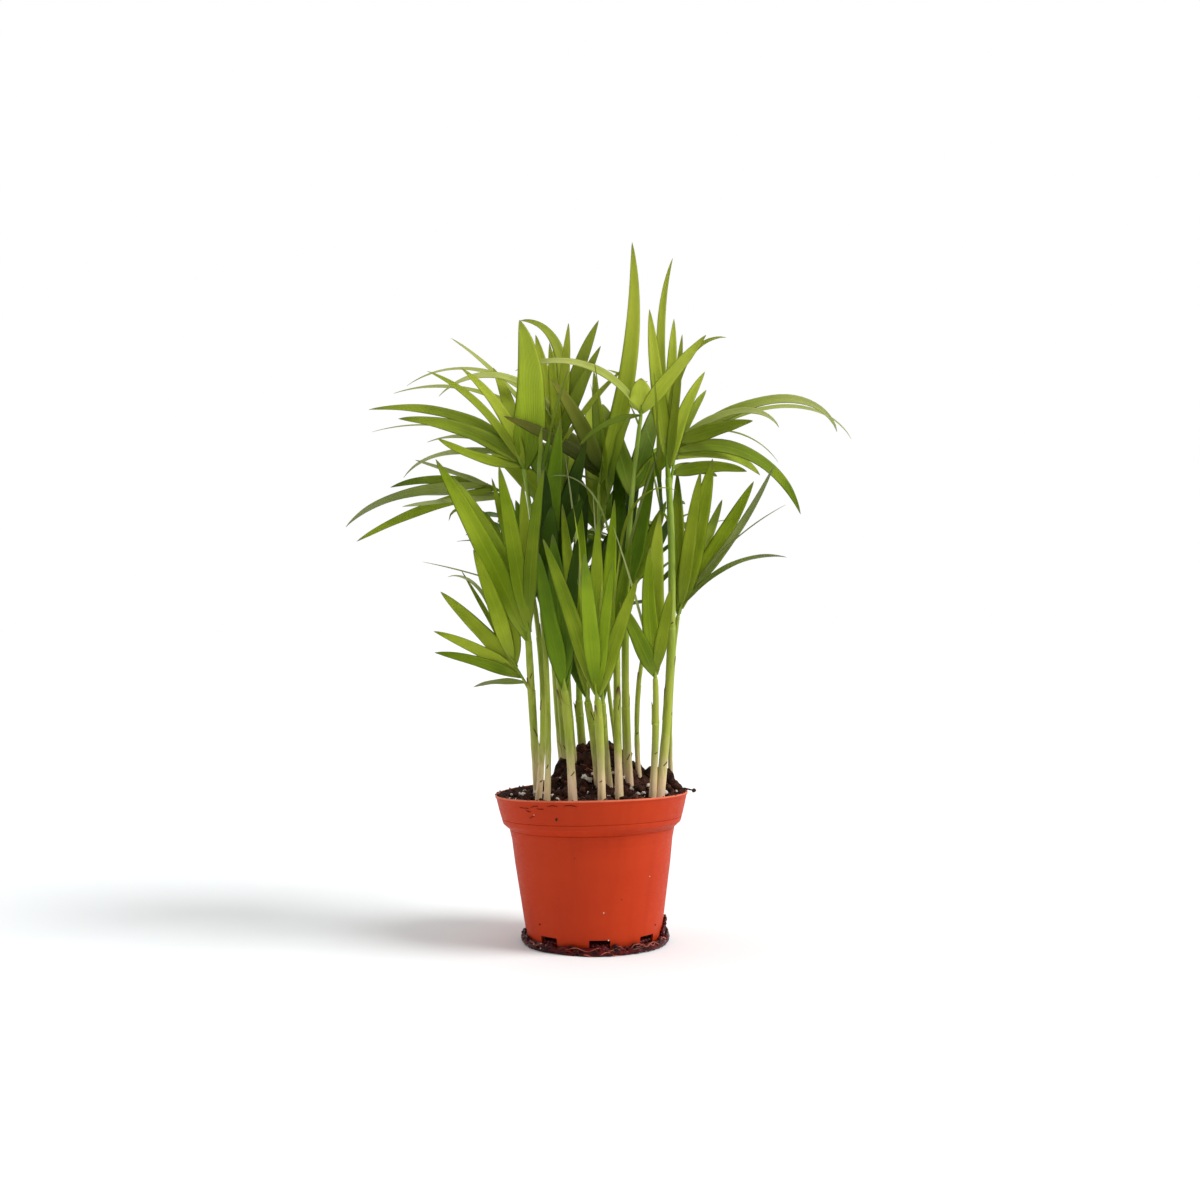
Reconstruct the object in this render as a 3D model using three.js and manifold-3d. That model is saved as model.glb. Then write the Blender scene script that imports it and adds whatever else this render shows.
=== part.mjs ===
// A parlour palm in its nursery pot: a clump of seedlings with feathered and fan-shaped fronds.
// Millimetres, +Z up, the origin at the middle of the flat underside. -Y is the front.
import * as THREE from "three";
import { mergeVertices } from "three/addons/utils/BufferGeometryUtils.js";
import Module from "manifold-3d";

// ---- Driving dimensions --------------------------------------------------------------------

const GAP = 0.3; // clear space between pieces that meet
const SEAT = 0.05; // clear space under the soil, which rests on the pot's floor
const DEG = Math.PI / 180;

// The round nursery pot: outer radius and height, from the foot of the wall up to the lip.
const POT_BASE_Z = 4;
const POT_FLOOR = 1.5;
const POT_WALL = 1.2;
const POT_OUTER = [
  [41.6, POT_BASE_Z],
  [44, 20.7],
  [48.1, 50],
  [49.6, 64],
  [51.1, 70.9],
  [54.9, 74.6],
  [57.4, 84],
  [58.8, 90.4],
  [59.5, 91.2],
  [59.5, 92.6],
];
const POT_SIDES = 32;
const NOTCHES = 8;
const NOTCH = { width: 12.5, height: 5, depth: 6, firstAngle: 4.9 };

// The thin pot stands a little out of true. Per millimetre its lip rises to the right and to the
// front, and its axis leans left; the lip is also sprung up at front and back by saddle.
const POT_BENT = { right: 0.02, front: 0.016, saddle: 0.6, left: 0.018, shift: 1.1 };

// The mat of roots that has grown out under the pot, and the heaped soil.
const MAT = { radius: 44.8, shift: 0.9, top: POT_BASE_Z, lip: 4.7, ripple: 0.3, ripples: 7 };
const SOIL = {
  rim: 89.5,
  edge: 56,
  sides: 24,
  rings: [0.8, 0.62, 0.46, 0.3, 0.15, 0],
  steepness: 1.3,
  swell: { x: 2, y: 6, height: 6, spread: 34 },
  mound: { x: 4, y: 22, height: 24, spread: 27 },
  bank: { x: 44, y: 8, height: 8, spread: 14 },
};

// Stalks.
const STALK_SIDES = 3;
const STALK_STEPS = 4;
const STEM_SIDES = 6;
const STEM_STEPS = 5;
const FLARE = { extra: 0.18, fade: 14 };
const FOOT_SUNK = 4;
const RIB = { side: 1.1, tip: 0.45, ofStem: 0.9, sunk: 2 };
const PATH_STEPS = 24;
const USUAL_LATE = 1.5;
const TILT = { start: 0.5, growth: 0.8, average: 0.9 };

// Leaves: the thickness is a share of the length, and the midrib lies below the edges by a share
// of the half width.
const LEAF = { thickness: 0.011, thinnest: 0.7, tipThickness: 0.35, crease: 0.12 };
const OUTLINE = { root: 0.3, widest: 0.36, tipPower: 5, tipRound: 0.75 };
const LEAF_KNOTS = [0, 0.09, 0.4, 0.72, 0.91, 1];

// The clear space round leaves and stalks, and the turns that a leaf is moved by to find it.
const CLEAR = { leaf: 1.7, stalk: 0.2, stations: 14, firstShare: 0.06, widthShare: 0.8 };
const STEM_STATIONS = 48;
const RIB_STATIONS = 12;
const LONGEST_STRETCH = 0.78; // least share of its length that a tilted leaf shows to the front
const NUDGES = [0, 4, -4, 8, -8, 12, -12, 17, -17, 22, -22, 28, -28];

// Leaflets of a feathered frond, from the lowest pair to the last.
const LEAFLET = {
  at: [0.3, 0.98],
  spread: [74, 16],
  rise: [14, 4],
  bend: 46,
  face: 14,
  taper: { from: 0.4, by: 0.3 },
  uneven: { spread: 14, rise: 16, bend: 30, size: 0.2, face: 30 },
};

// Stems: the foot, a point half way and the top, then the radius at the foot and at the top.
const STEMS = {
  stem_01: { foot: [-33.2, -5], half: [-36.6, -15, 148], top: [-38.4, -24, 187], r: [2.5, 2.1] },
  stem_02: { foot: [-32.8, -30], half: [-32.2, -10, 183], top: [-52.3, 5, 276], r: [1.9, 1.2] },
  stem_03: { foot: [-27, -38], half: [-28.8, -20, 187], top: [-42.8, 0, 294], r: [1.9, 1.2] },
  stem_04: { foot: [-11, -42], half: [-13.5, -38, 127], top: [-16.5, -35, 157], r: [2.6, 2.3] },
  stem_05: { foot: [6.0, -45], half: [5, -46, 125], top: [3.4, -46, 152], r: [2.3, 2.2] },
  stem_06: { foot: [-6, 25], half: [-7.4, 20, 130], top: [-8.4, 16, 148], r: [2.6, 2.3] },
  stem_07: { foot: [-17.9, 22], half: [-25.2, 20, 208], top: [-21.5, 15, 302], r: [2.6, 1.3] },
  stem_08: { foot: [-15.8, 14], half: [-20.1, 13, 154], top: [-20.4, 5, 186], r: [2.5, 2] },
  stem_09: { foot: [4.2, -10], half: [0.8, -18, 129], top: [-2.8, -27, 150], r: [2.7, 2.2] },
  stem_10: { foot: [11, -15], half: [7.8, -22, 126], top: [6.6, -32, 149], r: [2.2, 1.8] },
  stem_11: { foot: [16.6, -32], half: [15.2, -20, 150], top: [15.4, -8, 205], r: [2.4, 2] },
  stem_12: { foot: [22.6, -5], half: [21, -8, 217], top: [30, -15, 325], r: [2.7, 1.2] },
  stem_13: { foot: [16.2, 18], half: [6, 15, 201], top: [4.4, 5, 284], r: [1.3, 1] },
  stem_14: { foot: [29.3, 5], half: [28.1, 5, 146], top: [33.5, 0, 186], r: [1.7, 1.2] },
  stem_15: { foot: [36, -28], half: [38.2, -28, 130], top: [38.1, -28, 164], r: [2.2, 1.7] },
  stem_16: { foot: [40.2, -25], half: [48.4, -12, 190], top: [47.1, 0, 288], r: [2.8, 2] },
  stem_17: { foot: [49.4, 8], half: [48.8, 3, 149], top: [53.3, 0, 202], r: [1.5, 1.2] },
  stem_18: { foot: [-10.8, 8], half: [-13.4, 4, 132], top: [-15.2, -4, 168], r: [2.1, 1.7] },
};

// Fronds. A rib leaves its stem at the stem's top or at a height z, leaning from upright by lean
// degrees in the plane that turn turns about Z (0 is to the right, -90 to the front), and curves
// on by bend. Each leaf of a fan is a row: at (share of the rib), lean, bend, length, width, face
// (90 shows its broad side to the front, 0 to the sky), tilt to the front, how late it bends, and
// a turn of its plane about Z where that isn't the fan's own.
const FANS = {
  fan_top: {
    stem: "stem_16", rib: { lean: -4, bend: -4, length: 26 },
    leaves: [
      [0.5, -8, 2, 90, 9, 80, 12],
      [0.9, -3.5, 22, 118, 6, 75, -8, 2.5],
      [0.43, 3, 0, 90, 8, 80, -6],
      [0.2, 6, -2, 80, 6, 60, 24],
      [0.7, 6, 96, 84, 6, 50, 16, 3],
      [0.2, 9, 24, 70, 8, 80, -20, 1],
      [0.8, -12, -60, 66, 5, 50, -26],
    ],
  },
  fan_crest: {
    stem: "stem_13", rib: { lean: 6, bend: 4, length: 16, tilt: 2 },
    leaves: [
      [0.1, 18.6, -24, 151, 10.5, 84, 4, 1.2],
      [0.4, -36, -30, 60, 12, 70, -26],
      [0.9, 8, 52, 66, 8, 60, -30],
      [0.6, -22, -20, 62, 10, 70, 26],
      [0.5, -3, -2, 66, 7, 75, -12],
    ],
  },
  fan_crook: {
    stem: "stem_12", rib: { lean: 2, bend: 0, length: 7 },
    leaves: [
      [0.5, -2, 6, 20, 14, 84, 0],
      [0.3, 39, 6, 58, 8.5, 75, 10],
      [0.2, -24, -92, 93, 6, 55, -12, 1],
    ],
  },
  fan_top_left: {
    stem: "stem_07", rib: { lean: 4, bend: 2, length: 22 },
    leaves: [
      [0.7, 5, -104, 88, 8, 70, -5, 3],
      [0.6, 5, 0, 70, 7, 75, 14],
      [0.4, -4, 2, 70, 5, 70, -24],
      [0.8, 15, 13, 71, 9, 80, 16],
      [0.2, -9, -5, 74, 9, 80, -6],
      [0.3, 30, 30, 58, 8, 60, -24],
      [0.5, -18, -102, 126, 5, 40, -22, 1],
      [0.4, -38, -68, 120, 5.5, 40, -12, 1],
      [0.3, -36, -18, 111, 5, 40, -34],
      [0.6, -6, -136, 98, 6, 50, 18, 1],
      [0.4, -5, 0, 62, 6.5, 80, 20],
      [0.6, 22, 10, 60, 8, 70, 34],
    ],
  },
  fan_left_high: {
    stem: "stem_03", rib: { lean: -20, bend: -20, length: 22 },
    leaves: [
      [0, 8, -28, 91, 18, 84, 6, 2],
      [0.5, -38, -62, 97, 7.5, 60, 10, 0.7],
      [0.2, -46, -48, 78, 10, 65, 26, 0.8],
      [0.2, -30, -45, 76, 5.5, 60, 34],
      [0, -10, -44, 73, 7.5, 75, 14, 1],
      [0.33, -50, -58, 64, 5, 40, -22, 1],
      [0.1, -86, 24, 52, 7, 60, 38, 1],
      [0.5, -84, -56, 80, 6, 40, -30, 2.4],
      [0.3, -8, -22, 62, 9, 75, -14],
    ],
  },
  fan_left_middle: {
    stem: "stem_02", rib: { lean: -50, bend: -20, length: 18 },
    leaves: [
      [0.9, -93, -46, 96, 7, 60, -4, 2.4],
      [0.6, -104, -20, 91, 7, 65, 12],
      [0.5, -74, -34, 72, 7, 60, -22],
      [0.8, -70, -6, 47, 5, 40, 26],
      [0.2, -84, -10, 60, 6, 40, -38],
      [0.1, -94, -10, 62, 5, 50, 34],
      [0.6, -70, -18, 44, 4.5, 40, -50],
    ],
  },
  fan_front_left: {
    stem: "stem_01", rib: { lean: 2, bend: -4, length: 12 },
    leaves: [
      [0.1, -24, -6, 120, 12.5, 84, 16],
      [0.5, -20, -16, 107, 13, 70, -4],
      [0.6, -9, 0, 98, 10, 82, 28],
      [0.8, -2, 0, 86, 8.5, 82, 14],
      [0.9, 2, 14, 92, 8, 78, 36],
      [0.9, -14, -2, 94, 7, 70, -14],
      [0.8, -18, -160, 104, 5.5, 75, -20, 5],
    ],
  },
  fan_low_left: {
    stem: "stem_01", z: 154, rib: { lean: -30, bend: 2, length: 26, tilt: 8 },
    leaves: [
      [0.7, -43, -4, 65, 9, 78, 8],
      [0.55, -58, -12, 57, 7, 75, 22],
      [0.45, -67, -14, 53, 6.5, 70, 36],
      [0.3, -84, -30, 33, 4.5, 45, -16],
      [0.95, -29, -4, 63, 4.5, 40, -14],
      [0.9, -16, -4, 70, 9, 80, 24],
      [0.8, -12, -10, 65, 13, 80, -14],
      [1, -20, -92, 66, 4.5, 40, 20, 4],
    ],
  },
  fan_front_middle: {
    stem: "stem_05", rib: { lean: -10, bend: 4, length: 9 },
    leaves: [
      [0.5, 6, 2, 79, 7, 84, 34],
      [0.4, 17, 4, 74, 9, 84, 20],
      [0.8, -5, 1, 84, 9, 80, 46],
      [0.6, -17, -4, 96, 9, 80, 22],
      [0.9, 0, 2, 100, 9, 82, 18],
    ],
  },
  fan_front_left_inner: {
    stem: "stem_09", rib: { lean: -4, bend: 2, length: 10 },
    leaves: [
      [0.5, -9, 4, 116, 9, 80, 8],
      [0.8, -3, 1, 122, 9, 80, -4],
      [0.4, -18, -4, 84, 10, 80, -14],
    ],
  },
  fan_front_right_inner: {
    stem: "stem_10", rib: { lean: -2, bend: 2, length: 10 },
    leaves: [
      [0.6, 3, 1, 118, 9, 80, 4],
      [0.8, 11, -2, 98, 9, 80, -8],
      [0.4, 0, 2, 96, 9, 80, -20],
    ],
  },
  fan_middle: {
    stem: "stem_11", rib: { lean: 0, bend: 2, length: 18 },
    leaves: [
      [0.7, -8, 2, 84, 9, 80, 24],
      [0.8, 9, 4, 84, 8, 80, -10],
      [0.6, -20, -8, 76, 9, 75, -14],
      [0.9, 1, 0, 96, 9, 80, -26],
    ],
  },
  fan_front_dark: {
    stem: "stem_03", z: 208, rib: { lean: 10, bend: 10, length: 14, tilt: 30 },
    leaves: [
      [0.5, 6, 4, 56, 12, 80, 52],
      [0.7, 20, 8, 60, 11, 80, 40],
      [0.4, -14, -4, 60, 11, 80, 44],
      [0.8, 0, 2, 70, 11, 80, 28],
      [0.6, 4, 4, 104, 12, 80, 8],
      [0.9, 14, 4, 92, 12, 80, -2],
    ],
  },
  fan_left_dark: {
    stem: "stem_04", rib: { lean: -4, bend: 2, length: 10 },
    leaves: [
      [0.3, -4, 0, 92, 13, 80, 16],
      [0.7, 4, 4, 86, 9, 80, -6],
      [0.5, -13, 8, 80, 10, 70, 30],
    ],
  },
  fan_inner: {
    stem: "stem_18", rib: { lean: -4, bend: 2, length: 12 },
    leaves: [
      [0.5, -6, 2, 92, 11, 80, -4],
      [0.9, 6, 4, 100, 10, 80, 4],
      [0.7, 16, 6, 84, 10, 75, -12],
      [0.3, -18, -8, 72, 9, 70, -16],
    ],
  },
  fan_right_middle: {
    stem: "stem_15", rib: { lean: -2, bend: 4, length: 8 },
    leaves: [
      [0.5, -2, 8, 96, 11.5, 82, 14],
      [0.4, -24, -6, 50, 9, 80, 34],
      [0.7, 10, -4, 52, 7, 80, 44],
      [0.8, -8, 12, 74, 9, 75, 30],
    ],
  },
  fan_right: {
    stem: "stem_17", rib: { lean: 12, bend: 16, length: 12 },
    leaves: [
      [0.5, 12, -1, 93, 12.5, 82, 14],
      [0.8, 31.5, -3, 87, 10, 80, 4],
      [1, 40, -18, 96, 5, 70, 22],
      [0.7, 41, 64, 71, 4.5, 40, 34],
      [0.2, 0, 0, 90, 9, 75, -12],
      [0.9, 22, 2, 72, 8, 60, -34],
      [0.6, 6, 2, 82, 8, 75, 32],
    ],
  },
  fan_right_high: {
    stem: "stem_16", z: 276, rib: { lean: 7, bend: 8, length: 40, tilt: -18 },
    leaves: [
      [0.95, 62, 107, 112, 8, 60, 8, 2.8],
      [0.9, 64, 84, 124, 4.5, 45, -14, 2.4],
      [0.98, 60, 100, 68, 6, 50, 24, 2.4],
      [0.9, 72, 14, 46, 9, 75, 36],
      [0.7, 60, 98, 102, 9, 65, -24, 0.8],
      [0.6, 66, 66, 62, 8, 60, -38, 1],
      [0.45, 84, 30, 34, 7, 60, -50, 1.2],
      [0.35, 76, 36, 46, 8, 75, 20],
      [0.9, 24, 12, 40, 6, 65, -28],
    ],
  },
  fan_right_dark: {
    stem: "stem_12", z: 212, rib: { lean: 12, bend: 0, length: 10, tilt: -14 },
    leaves: [
      [0.4, 24, -2, 62, 9, 75, -12],
      [0.9, 12, -2, 78, 9, 80, -22],
      [0.7, 36, -14, 56, 8, 70, -30],
    ],
  },
  fan_side_left: {
    stem: "stem_03", z: 266, turn: 90, rib: { lean: 4, bend: 0, length: 14, tilt: 34 },
    leaves: [
      [0.8, -50, -24, 72, 9, 75, 8],
      [0.9, -24, -8, 80, 10, 80, 14],
      [0.95, 8, 8, 84, 9, 80, 20],
      [0.9, 40, 22, 84, 10, 75, 8],
    ],
  },
  fan_side_middle: {
    stem: "stem_13", z: 262, turn: 90, rib: { lean: 0, bend: 0, length: 14, tilt: 34 },
    leaves: [
      [0.8, -46, -30, 88, 10, 75, 10],
      [0.9, -22, -14, 92, 10, 80, 22],
      [0.9, 22, 16, 90, 10, 80, 14],
      [0.8, 44, 34, 88, 10, 75, 4],
    ],
  },
  fan_side_right: {
    stem: "stem_16", z: 256, turn: 90, rib: { lean: 4, bend: 0, length: 14, tilt: -34 },
    leaves: [
      [0.8, -44, -34, 84, 10, 75, -10],
      [0.9, -20, -12, 88, 9, 80, -4],
      [0.9, 26, 14, 84, 9, 80, -14],
      [0.8, 50, 40, 88, 10, 75, -6],
    ],
  },
  fan_back_left: {
    stem: "stem_07", z: 262, rib: { lean: 0, bend: 0, length: 16, tilt: -40 },
    leaves: [
      [0.5, -40, -16, 70, 12, 80, -30],
      [0.8, -18, -8, 76, 12, 80, -40],
      [0.6, 4, 4, 78, 12, 80, -30],
      [0.9, 26, 14, 70, 11, 80, -44],
    ],
  },
  fan_back_middle: {
    stem: "stem_13", z: 246, rib: { lean: 6, bend: 0, length: 18, tilt: -34 },
    leaves: [
      [0.5, -28, -10, 84, 12, 80, -28],
      [0.7, -6, 2, 88, 12, 80, -38],
      [0.4, 14, 6, 86, 12, 80, -22],
      [0.9, 34, 10, 76, 11, 80, -40],
    ],
  },
  fan_back_right: {
    stem: "stem_12", z: 268, rib: { lean: 6, bend: 0, length: 16, tilt: -44 },
    leaves: [
      [0.5, -14, -6, 66, 11, 80, -34],
      [0.7, 14, 8, 70, 11, 80, -44],
      [0.9, 40, 16, 62, 10, 80, -36],
    ],
  },
};

// Feathered fronds: the rib, then the length and width of the longest leaflet, the pairs of
// leaflets and the seed of their unevenness.
const FEATHERS = {
  feather_01: {
    stem: "stem_08", rib: { turn: 108, lean: 18, bend: 46, length: 96 },
    leaf: [72, 10], pairs: 6, seed: 2,
  },
  feather_02: {
    stem: "stem_14", rib: { turn: 84, lean: 18, bend: 42, length: 96 },
    leaf: [68, 10], pairs: 6, seed: 3,
  },
  feather_03: {
    stem: "stem_06", rib: { turn: 94, lean: 14, bend: 34, length: 124 },
    leaf: [76, 11], pairs: 6, seed: 4,
  },
};

// ---- Small helpers -------------------------------------------------------------------------

const wasm = await Module();
wasm.setup();

const lerp = (a, b, t) => a + (b - a) * t;

// A repeatable source of numbers from 0 to 1.
function randomFrom(seed) {
  let state = seed * 2654435761;
  return () => {
    state = (state + 0x6d2b79f5) >>> 0;
    let mixed = Math.imul(state ^ (state >>> 15), state | 1);
    mixed ^= mixed + Math.imul(mixed ^ (mixed >>> 7), mixed | 61);
    return ((mixed ^ (mixed >>> 14)) >>> 0) / 4294967296;
  };
}

// The solid of a closed geometry.
function solidOf(geometry) {
  const bare = new THREE.BufferGeometry();
  bare.setAttribute("position", geometry.getAttribute("position"));
  bare.setIndex(geometry.index);
  const merged = mergeVertices(bare, 1e-4);
  const mesh = new wasm.Mesh({
    numProp: 3,
    vertProperties: merged.attributes.position.array,
    triVerts: new Uint32Array(merged.index.array),
  });
  return new wasm.Manifold(mesh);
}

// The geometry of a solid.
function geometryOf(solid) {
  const mesh = solid.getMesh();
  const geometry = new THREE.BufferGeometry();
  geometry.setAttribute("position", new THREE.BufferAttribute(mesh.vertProperties, 3));
  geometry.setIndex(new THREE.BufferAttribute(mesh.triVerts, 1));
  geometry.computeVertexNormals();
  return geometry;
}

// The largest loose part of a solid, without the scraps that a cut leaves.
function mainPart(solid) {
  const parts = solid.decompose();
  return parts.reduce((a, b) => (a.volume() > b.volume() ? a : b));
}

// A lathe about Z of a profile of [radius, height] pairs that starts and ends on the axis.
function lathe(profile, sides) {
  const points = profile.map(([r, z]) => new THREE.Vector2(r, z));
  return new THREE.LatheGeometry(points, sides).rotateX(Math.PI / 2);
}

// Moves each vertex of a geometry by a function of its place.
function reshape(geometry, move) {
  const position = geometry.getAttribute("position");
  const point = new THREE.Vector3();
  for (let i = 0; i < position.count; i++) {
    move(point.fromBufferAttribute(position, i));
    position.setXYZ(i, point.x, point.y, point.z);
  }
  return geometry;
}

// ---- Paths ---------------------------------------------------------------------------------

// The parabola through three points, at share t.
function parabola(a, b, c, t) {
  const start = (1 - t) * (1 - 2 * t);
  const middle = 4 * t * (1 - t);
  const end = t * (2 * t - 1);
  return new THREE.Vector3(
    a.x * start + b.x * middle + c.x * end,
    a.y * start + b.y * middle + c.y * end,
    a.z * start + b.z * middle + c.z * end,
  );
}

// The direction of a stalk or leaf at a share of its length: it leans from upright, in the plane
// that turn turns about Z, and more and more out of that plane by tilt.
function heading({ lean, bend, turn = 0, tilt = 0 }, share, late) {
  const over = (lean + bend * share ** late) * DEG;
  const out = tilt * (TILT.start + TILT.growth * share) * DEG;
  const flat = new THREE.Vector3(
    Math.sin(over) * Math.cos(out),
    -Math.sin(out),
    Math.cos(over) * Math.cos(out),
  );
  return flat.applyAxisAngle(new THREE.Vector3(0, 0, 1), turn * DEG);
}

// A curved path: its points and directions at even steps, worked out by adding short straight
// steps whose lean grows by bend times the share of the length to the power late.
function pathOf(from, shape) {
  const points = [from.clone()];
  const ways = [];
  const late = shape.late ?? USUAL_LATE;
  for (let i = 0; i <= PATH_STEPS; i++) {
    ways.push(heading(shape, i / PATH_STEPS, late));
    if (i === PATH_STEPS) break;
    const step = heading(shape, (i + 0.5) / PATH_STEPS, late);
    points.push(points[i].clone().addScaledVector(step, shape.length / PATH_STEPS));
  }
  return { points, ways };
}

// The point and direction of a path at share t.
function along(path, t) {
  const place = Math.min(t, 1) * PATH_STEPS;
  const i = Math.min(Math.floor(place), PATH_STEPS - 1);
  const point = path.points[i].clone().lerp(path.points[i + 1], place - i);
  const way = path.ways[i].clone().lerp(path.ways[i + 1], place - i).normalize();
  return { point, way };
}

// ---- Pot, root mat and soil ----------------------------------------------------------------

// How far the lip's plane is raised at a place.
function lipRise(x, y) {
  const sprung = (POT_BENT.saddle * (y ** 2 - x ** 2)) / POT_OUTER.at(-1)[0] ** 2;
  return POT_BENT.right * x - POT_BENT.front * y + sprung;
}

// How far the pot's axis is moved to the right at a height.
const axisShift = (z) => POT_BENT.shift - POT_BENT.left * (z - POT_BASE_Z);

// Bends a point of the pot out of true, the more the higher it is.
function bendPot(p) {
  const shift = axisShift(p.z);
  p.z += (lipRise(p.x, p.y) * (p.z - POT_BASE_Z)) / (SOIL.rim - POT_BASE_Z);
  p.x += shift;
}

function makePot() {
  const [rimRadius, rimZ] = POT_OUTER.at(-1);
  const inner = [POT_OUTER[1], POT_OUTER[4], POT_OUTER[5]].map(([r, z]) => [r - POT_WALL, z]);
  const profile = [
    [0, POT_BASE_Z],
    ...POT_OUTER,
    [rimRadius - POT_WALL, rimZ],
    ...inner.reverse(),
    [POT_OUTER[0][0] - POT_WALL, POT_BASE_Z + POT_FLOOR],
    [0, POT_BASE_Z + POT_FLOOR],
  ];
  let pot = solidOf(reshape(lathe(profile, POT_SIDES), bendPot));
  for (let i = 0; i < NOTCHES; i++) {
    const angle = (NOTCH.firstAngle - 90 + (i * 360) / NOTCHES) * DEG;
    const notch = new THREE.BoxGeometry(NOTCH.depth, NOTCH.width, NOTCH.height + 1);
    notch.translate(POT_OUTER[0][0], 0, POT_BASE_Z + (NOTCH.height - 1) / 2);
    notch.rotateZ(angle).translate(POT_BENT.shift, 0, 0);
    pot = pot.subtract(solidOf(notch));
  }
  return geometryOf(pot);
}

function makeRootMat() {
  const potFoot = POT_OUTER[0][0] + 0.2 + GAP;
  const profile = [
    [0, 0],
    [MAT.radius - 1.4, 0],
    [MAT.radius, 1.8],
    [MAT.radius - 0.6, 3.8],
    [potFoot + 0.9, MAT.lip],
    [potFoot + 0.1, MAT.lip - 0.4],
    [potFoot, MAT.top],
    [0, MAT.top],
  ];
  const mat = lathe(profile, POT_SIDES);
  return reshape(mat, (p) => {
    const radius = Math.max(Math.hypot(p.x, p.y), 1);
    const angle = Math.atan2(p.y, p.x);
    const outside = (radius - potFoot - 0.5) / (MAT.radius - potFoot - 0.5);
    const wide = MAT.shift * Math.cos(angle) + MAT.ripple * Math.sin(MAT.ripples * angle);
    const grow = 1 + (wide * Math.max(outside, 0)) / radius;
    p.x = p.x * grow + POT_BENT.shift;
    p.y *= grow;
  });
}

// The height of the soil: three round heaps on the lip's own bent plane, just under it.
function soilHeight(x, y) {
  const heap = (h) => {
    const away = ((x - h.x) ** 2 + (y - h.y) ** 2) / h.spread ** 2;
    return h.height * Math.exp(-(away ** SOIL.steepness));
  };
  return SOIL.rim + lipRise(x, y) + heap(SOIL.swell) + heap(SOIL.mound) + heap(SOIL.bank);
}

// The soil with its top raised by lift, which the stems are cut with.
function makeSoil(lift = 0) {
  const inset = POT_WALL + GAP;
  const bottom = POT_BASE_Z + POT_FLOOR + SEAT;
  const above = 2 * SOIL.rim;
  const wall = [POT_OUTER[1], POT_OUTER[4], POT_OUTER[5]].map(([r, z]) => [r - inset, z]);
  const profile = [
    [0, bottom],
    [POT_OUTER[0][0] - inset, bottom],
    ...wall,
    [SOIL.edge, SOIL.rim],
    ...SOIL.rings.map((share) => [SOIL.edge * share, above]),
  ];
  return reshape(lathe(profile, SOIL.sides), (p) => {
    if (p.z < above) return bendPot(p);
    p.x += axisShift(SOIL.rim);
    p.z = soilHeight(p.x, p.y) + lift;
  });
}

// ---- Stems ---------------------------------------------------------------------------------

// A round stalk through the points that place gives, radius by share of its length.
function stalk(place, radius, sides, steps) {
  const tube = new THREE.CylinderGeometry(1, 1, 1, sides, steps).rotateX(Math.PI / 2);
  const across = new THREE.Vector3(1, 0, 0);
  return reshape(tube, (p) => {
    const t = p.z + 0.5;
    const { point, way } = place(t);
    const front = new THREE.Vector3().crossVectors(way, across).normalize();
    const right = new THREE.Vector3().crossVectors(front, way);
    right.multiplyScalar(p.x * radius(t));
    front.multiplyScalar(p.y * radius(t));
    p.copy(point).add(right).add(front);
  });
}

const stems = {};
for (const [name, row] of Object.entries(STEMS)) {
  const [x, y] = row.foot;
  const foot = new THREE.Vector3(x, y, soilHeight(x, y) - FOOT_SUNK);
  const half = new THREE.Vector3(...row.half);
  const top = new THREE.Vector3(...row.top);
  const place = (t) => {
    const ahead = parabola(foot, half, top, t + 0.01);
    const way = ahead.sub(parabola(foot, half, top, t - 0.01)).normalize();
    return { point: parabola(foot, half, top, t), way };
  };
  const flare = (t) => 1 + FLARE.extra * Math.exp(-t * FLARE.fade);
  const radius = (t) => lerp(row.r[0], row.r[1], t) * flare(t);
  stems[name] = { place, radius };
}

function makeStem(name, grow = 0) {
  const { place, radius } = stems[name];
  return solidOf(stalk(place, (t) => radius(t) + grow, STEM_SIDES, STEM_STEPS));
}

// The share of a stem at a height.
function shareAtHeight(stem, z) {
  let low = 0;
  let high = 1;
  for (let i = 0; i < 30; i++) {
    const middle = (low + high) / 2;
    if (stem.place(middle).point.z < z) low = middle;
    else high = middle;
  }
  return low;
}

// ---- Leaves --------------------------------------------------------------------------------

// The half width of a leaf at share s: a narrow root, its widest place at a third, a long tip.
function halfWidth(s, width) {
  const opened = Math.sin(Math.min(s / OUTLINE.widest, 1) * 90 * DEG);
  const root = lerp(OUTLINE.root, 1, opened);
  return (width / 2) * root * (1 - s ** OUTLINE.tipPower) ** OUTLINE.tipRound;
}

// The direction across a leaf, level at first and then turned by its face about its way, so that
// the upper side looks to the sky or to the front whichever way the leaf leans.
function acrossOf(leaf, way) {
  const side = leaf.lean + leaf.bend / 2 < 0 ? -1 : 1;
  const level = new THREE.Vector3(-Math.sin(leaf.turn * DEG), Math.cos(leaf.turn * DEG), 0);
  level.addScaledVector(way, -level.dot(way)).normalize().multiplyScalar(side);
  return level.applyAxisAngle(way, side * leaf.face * DEG);
}

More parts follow.
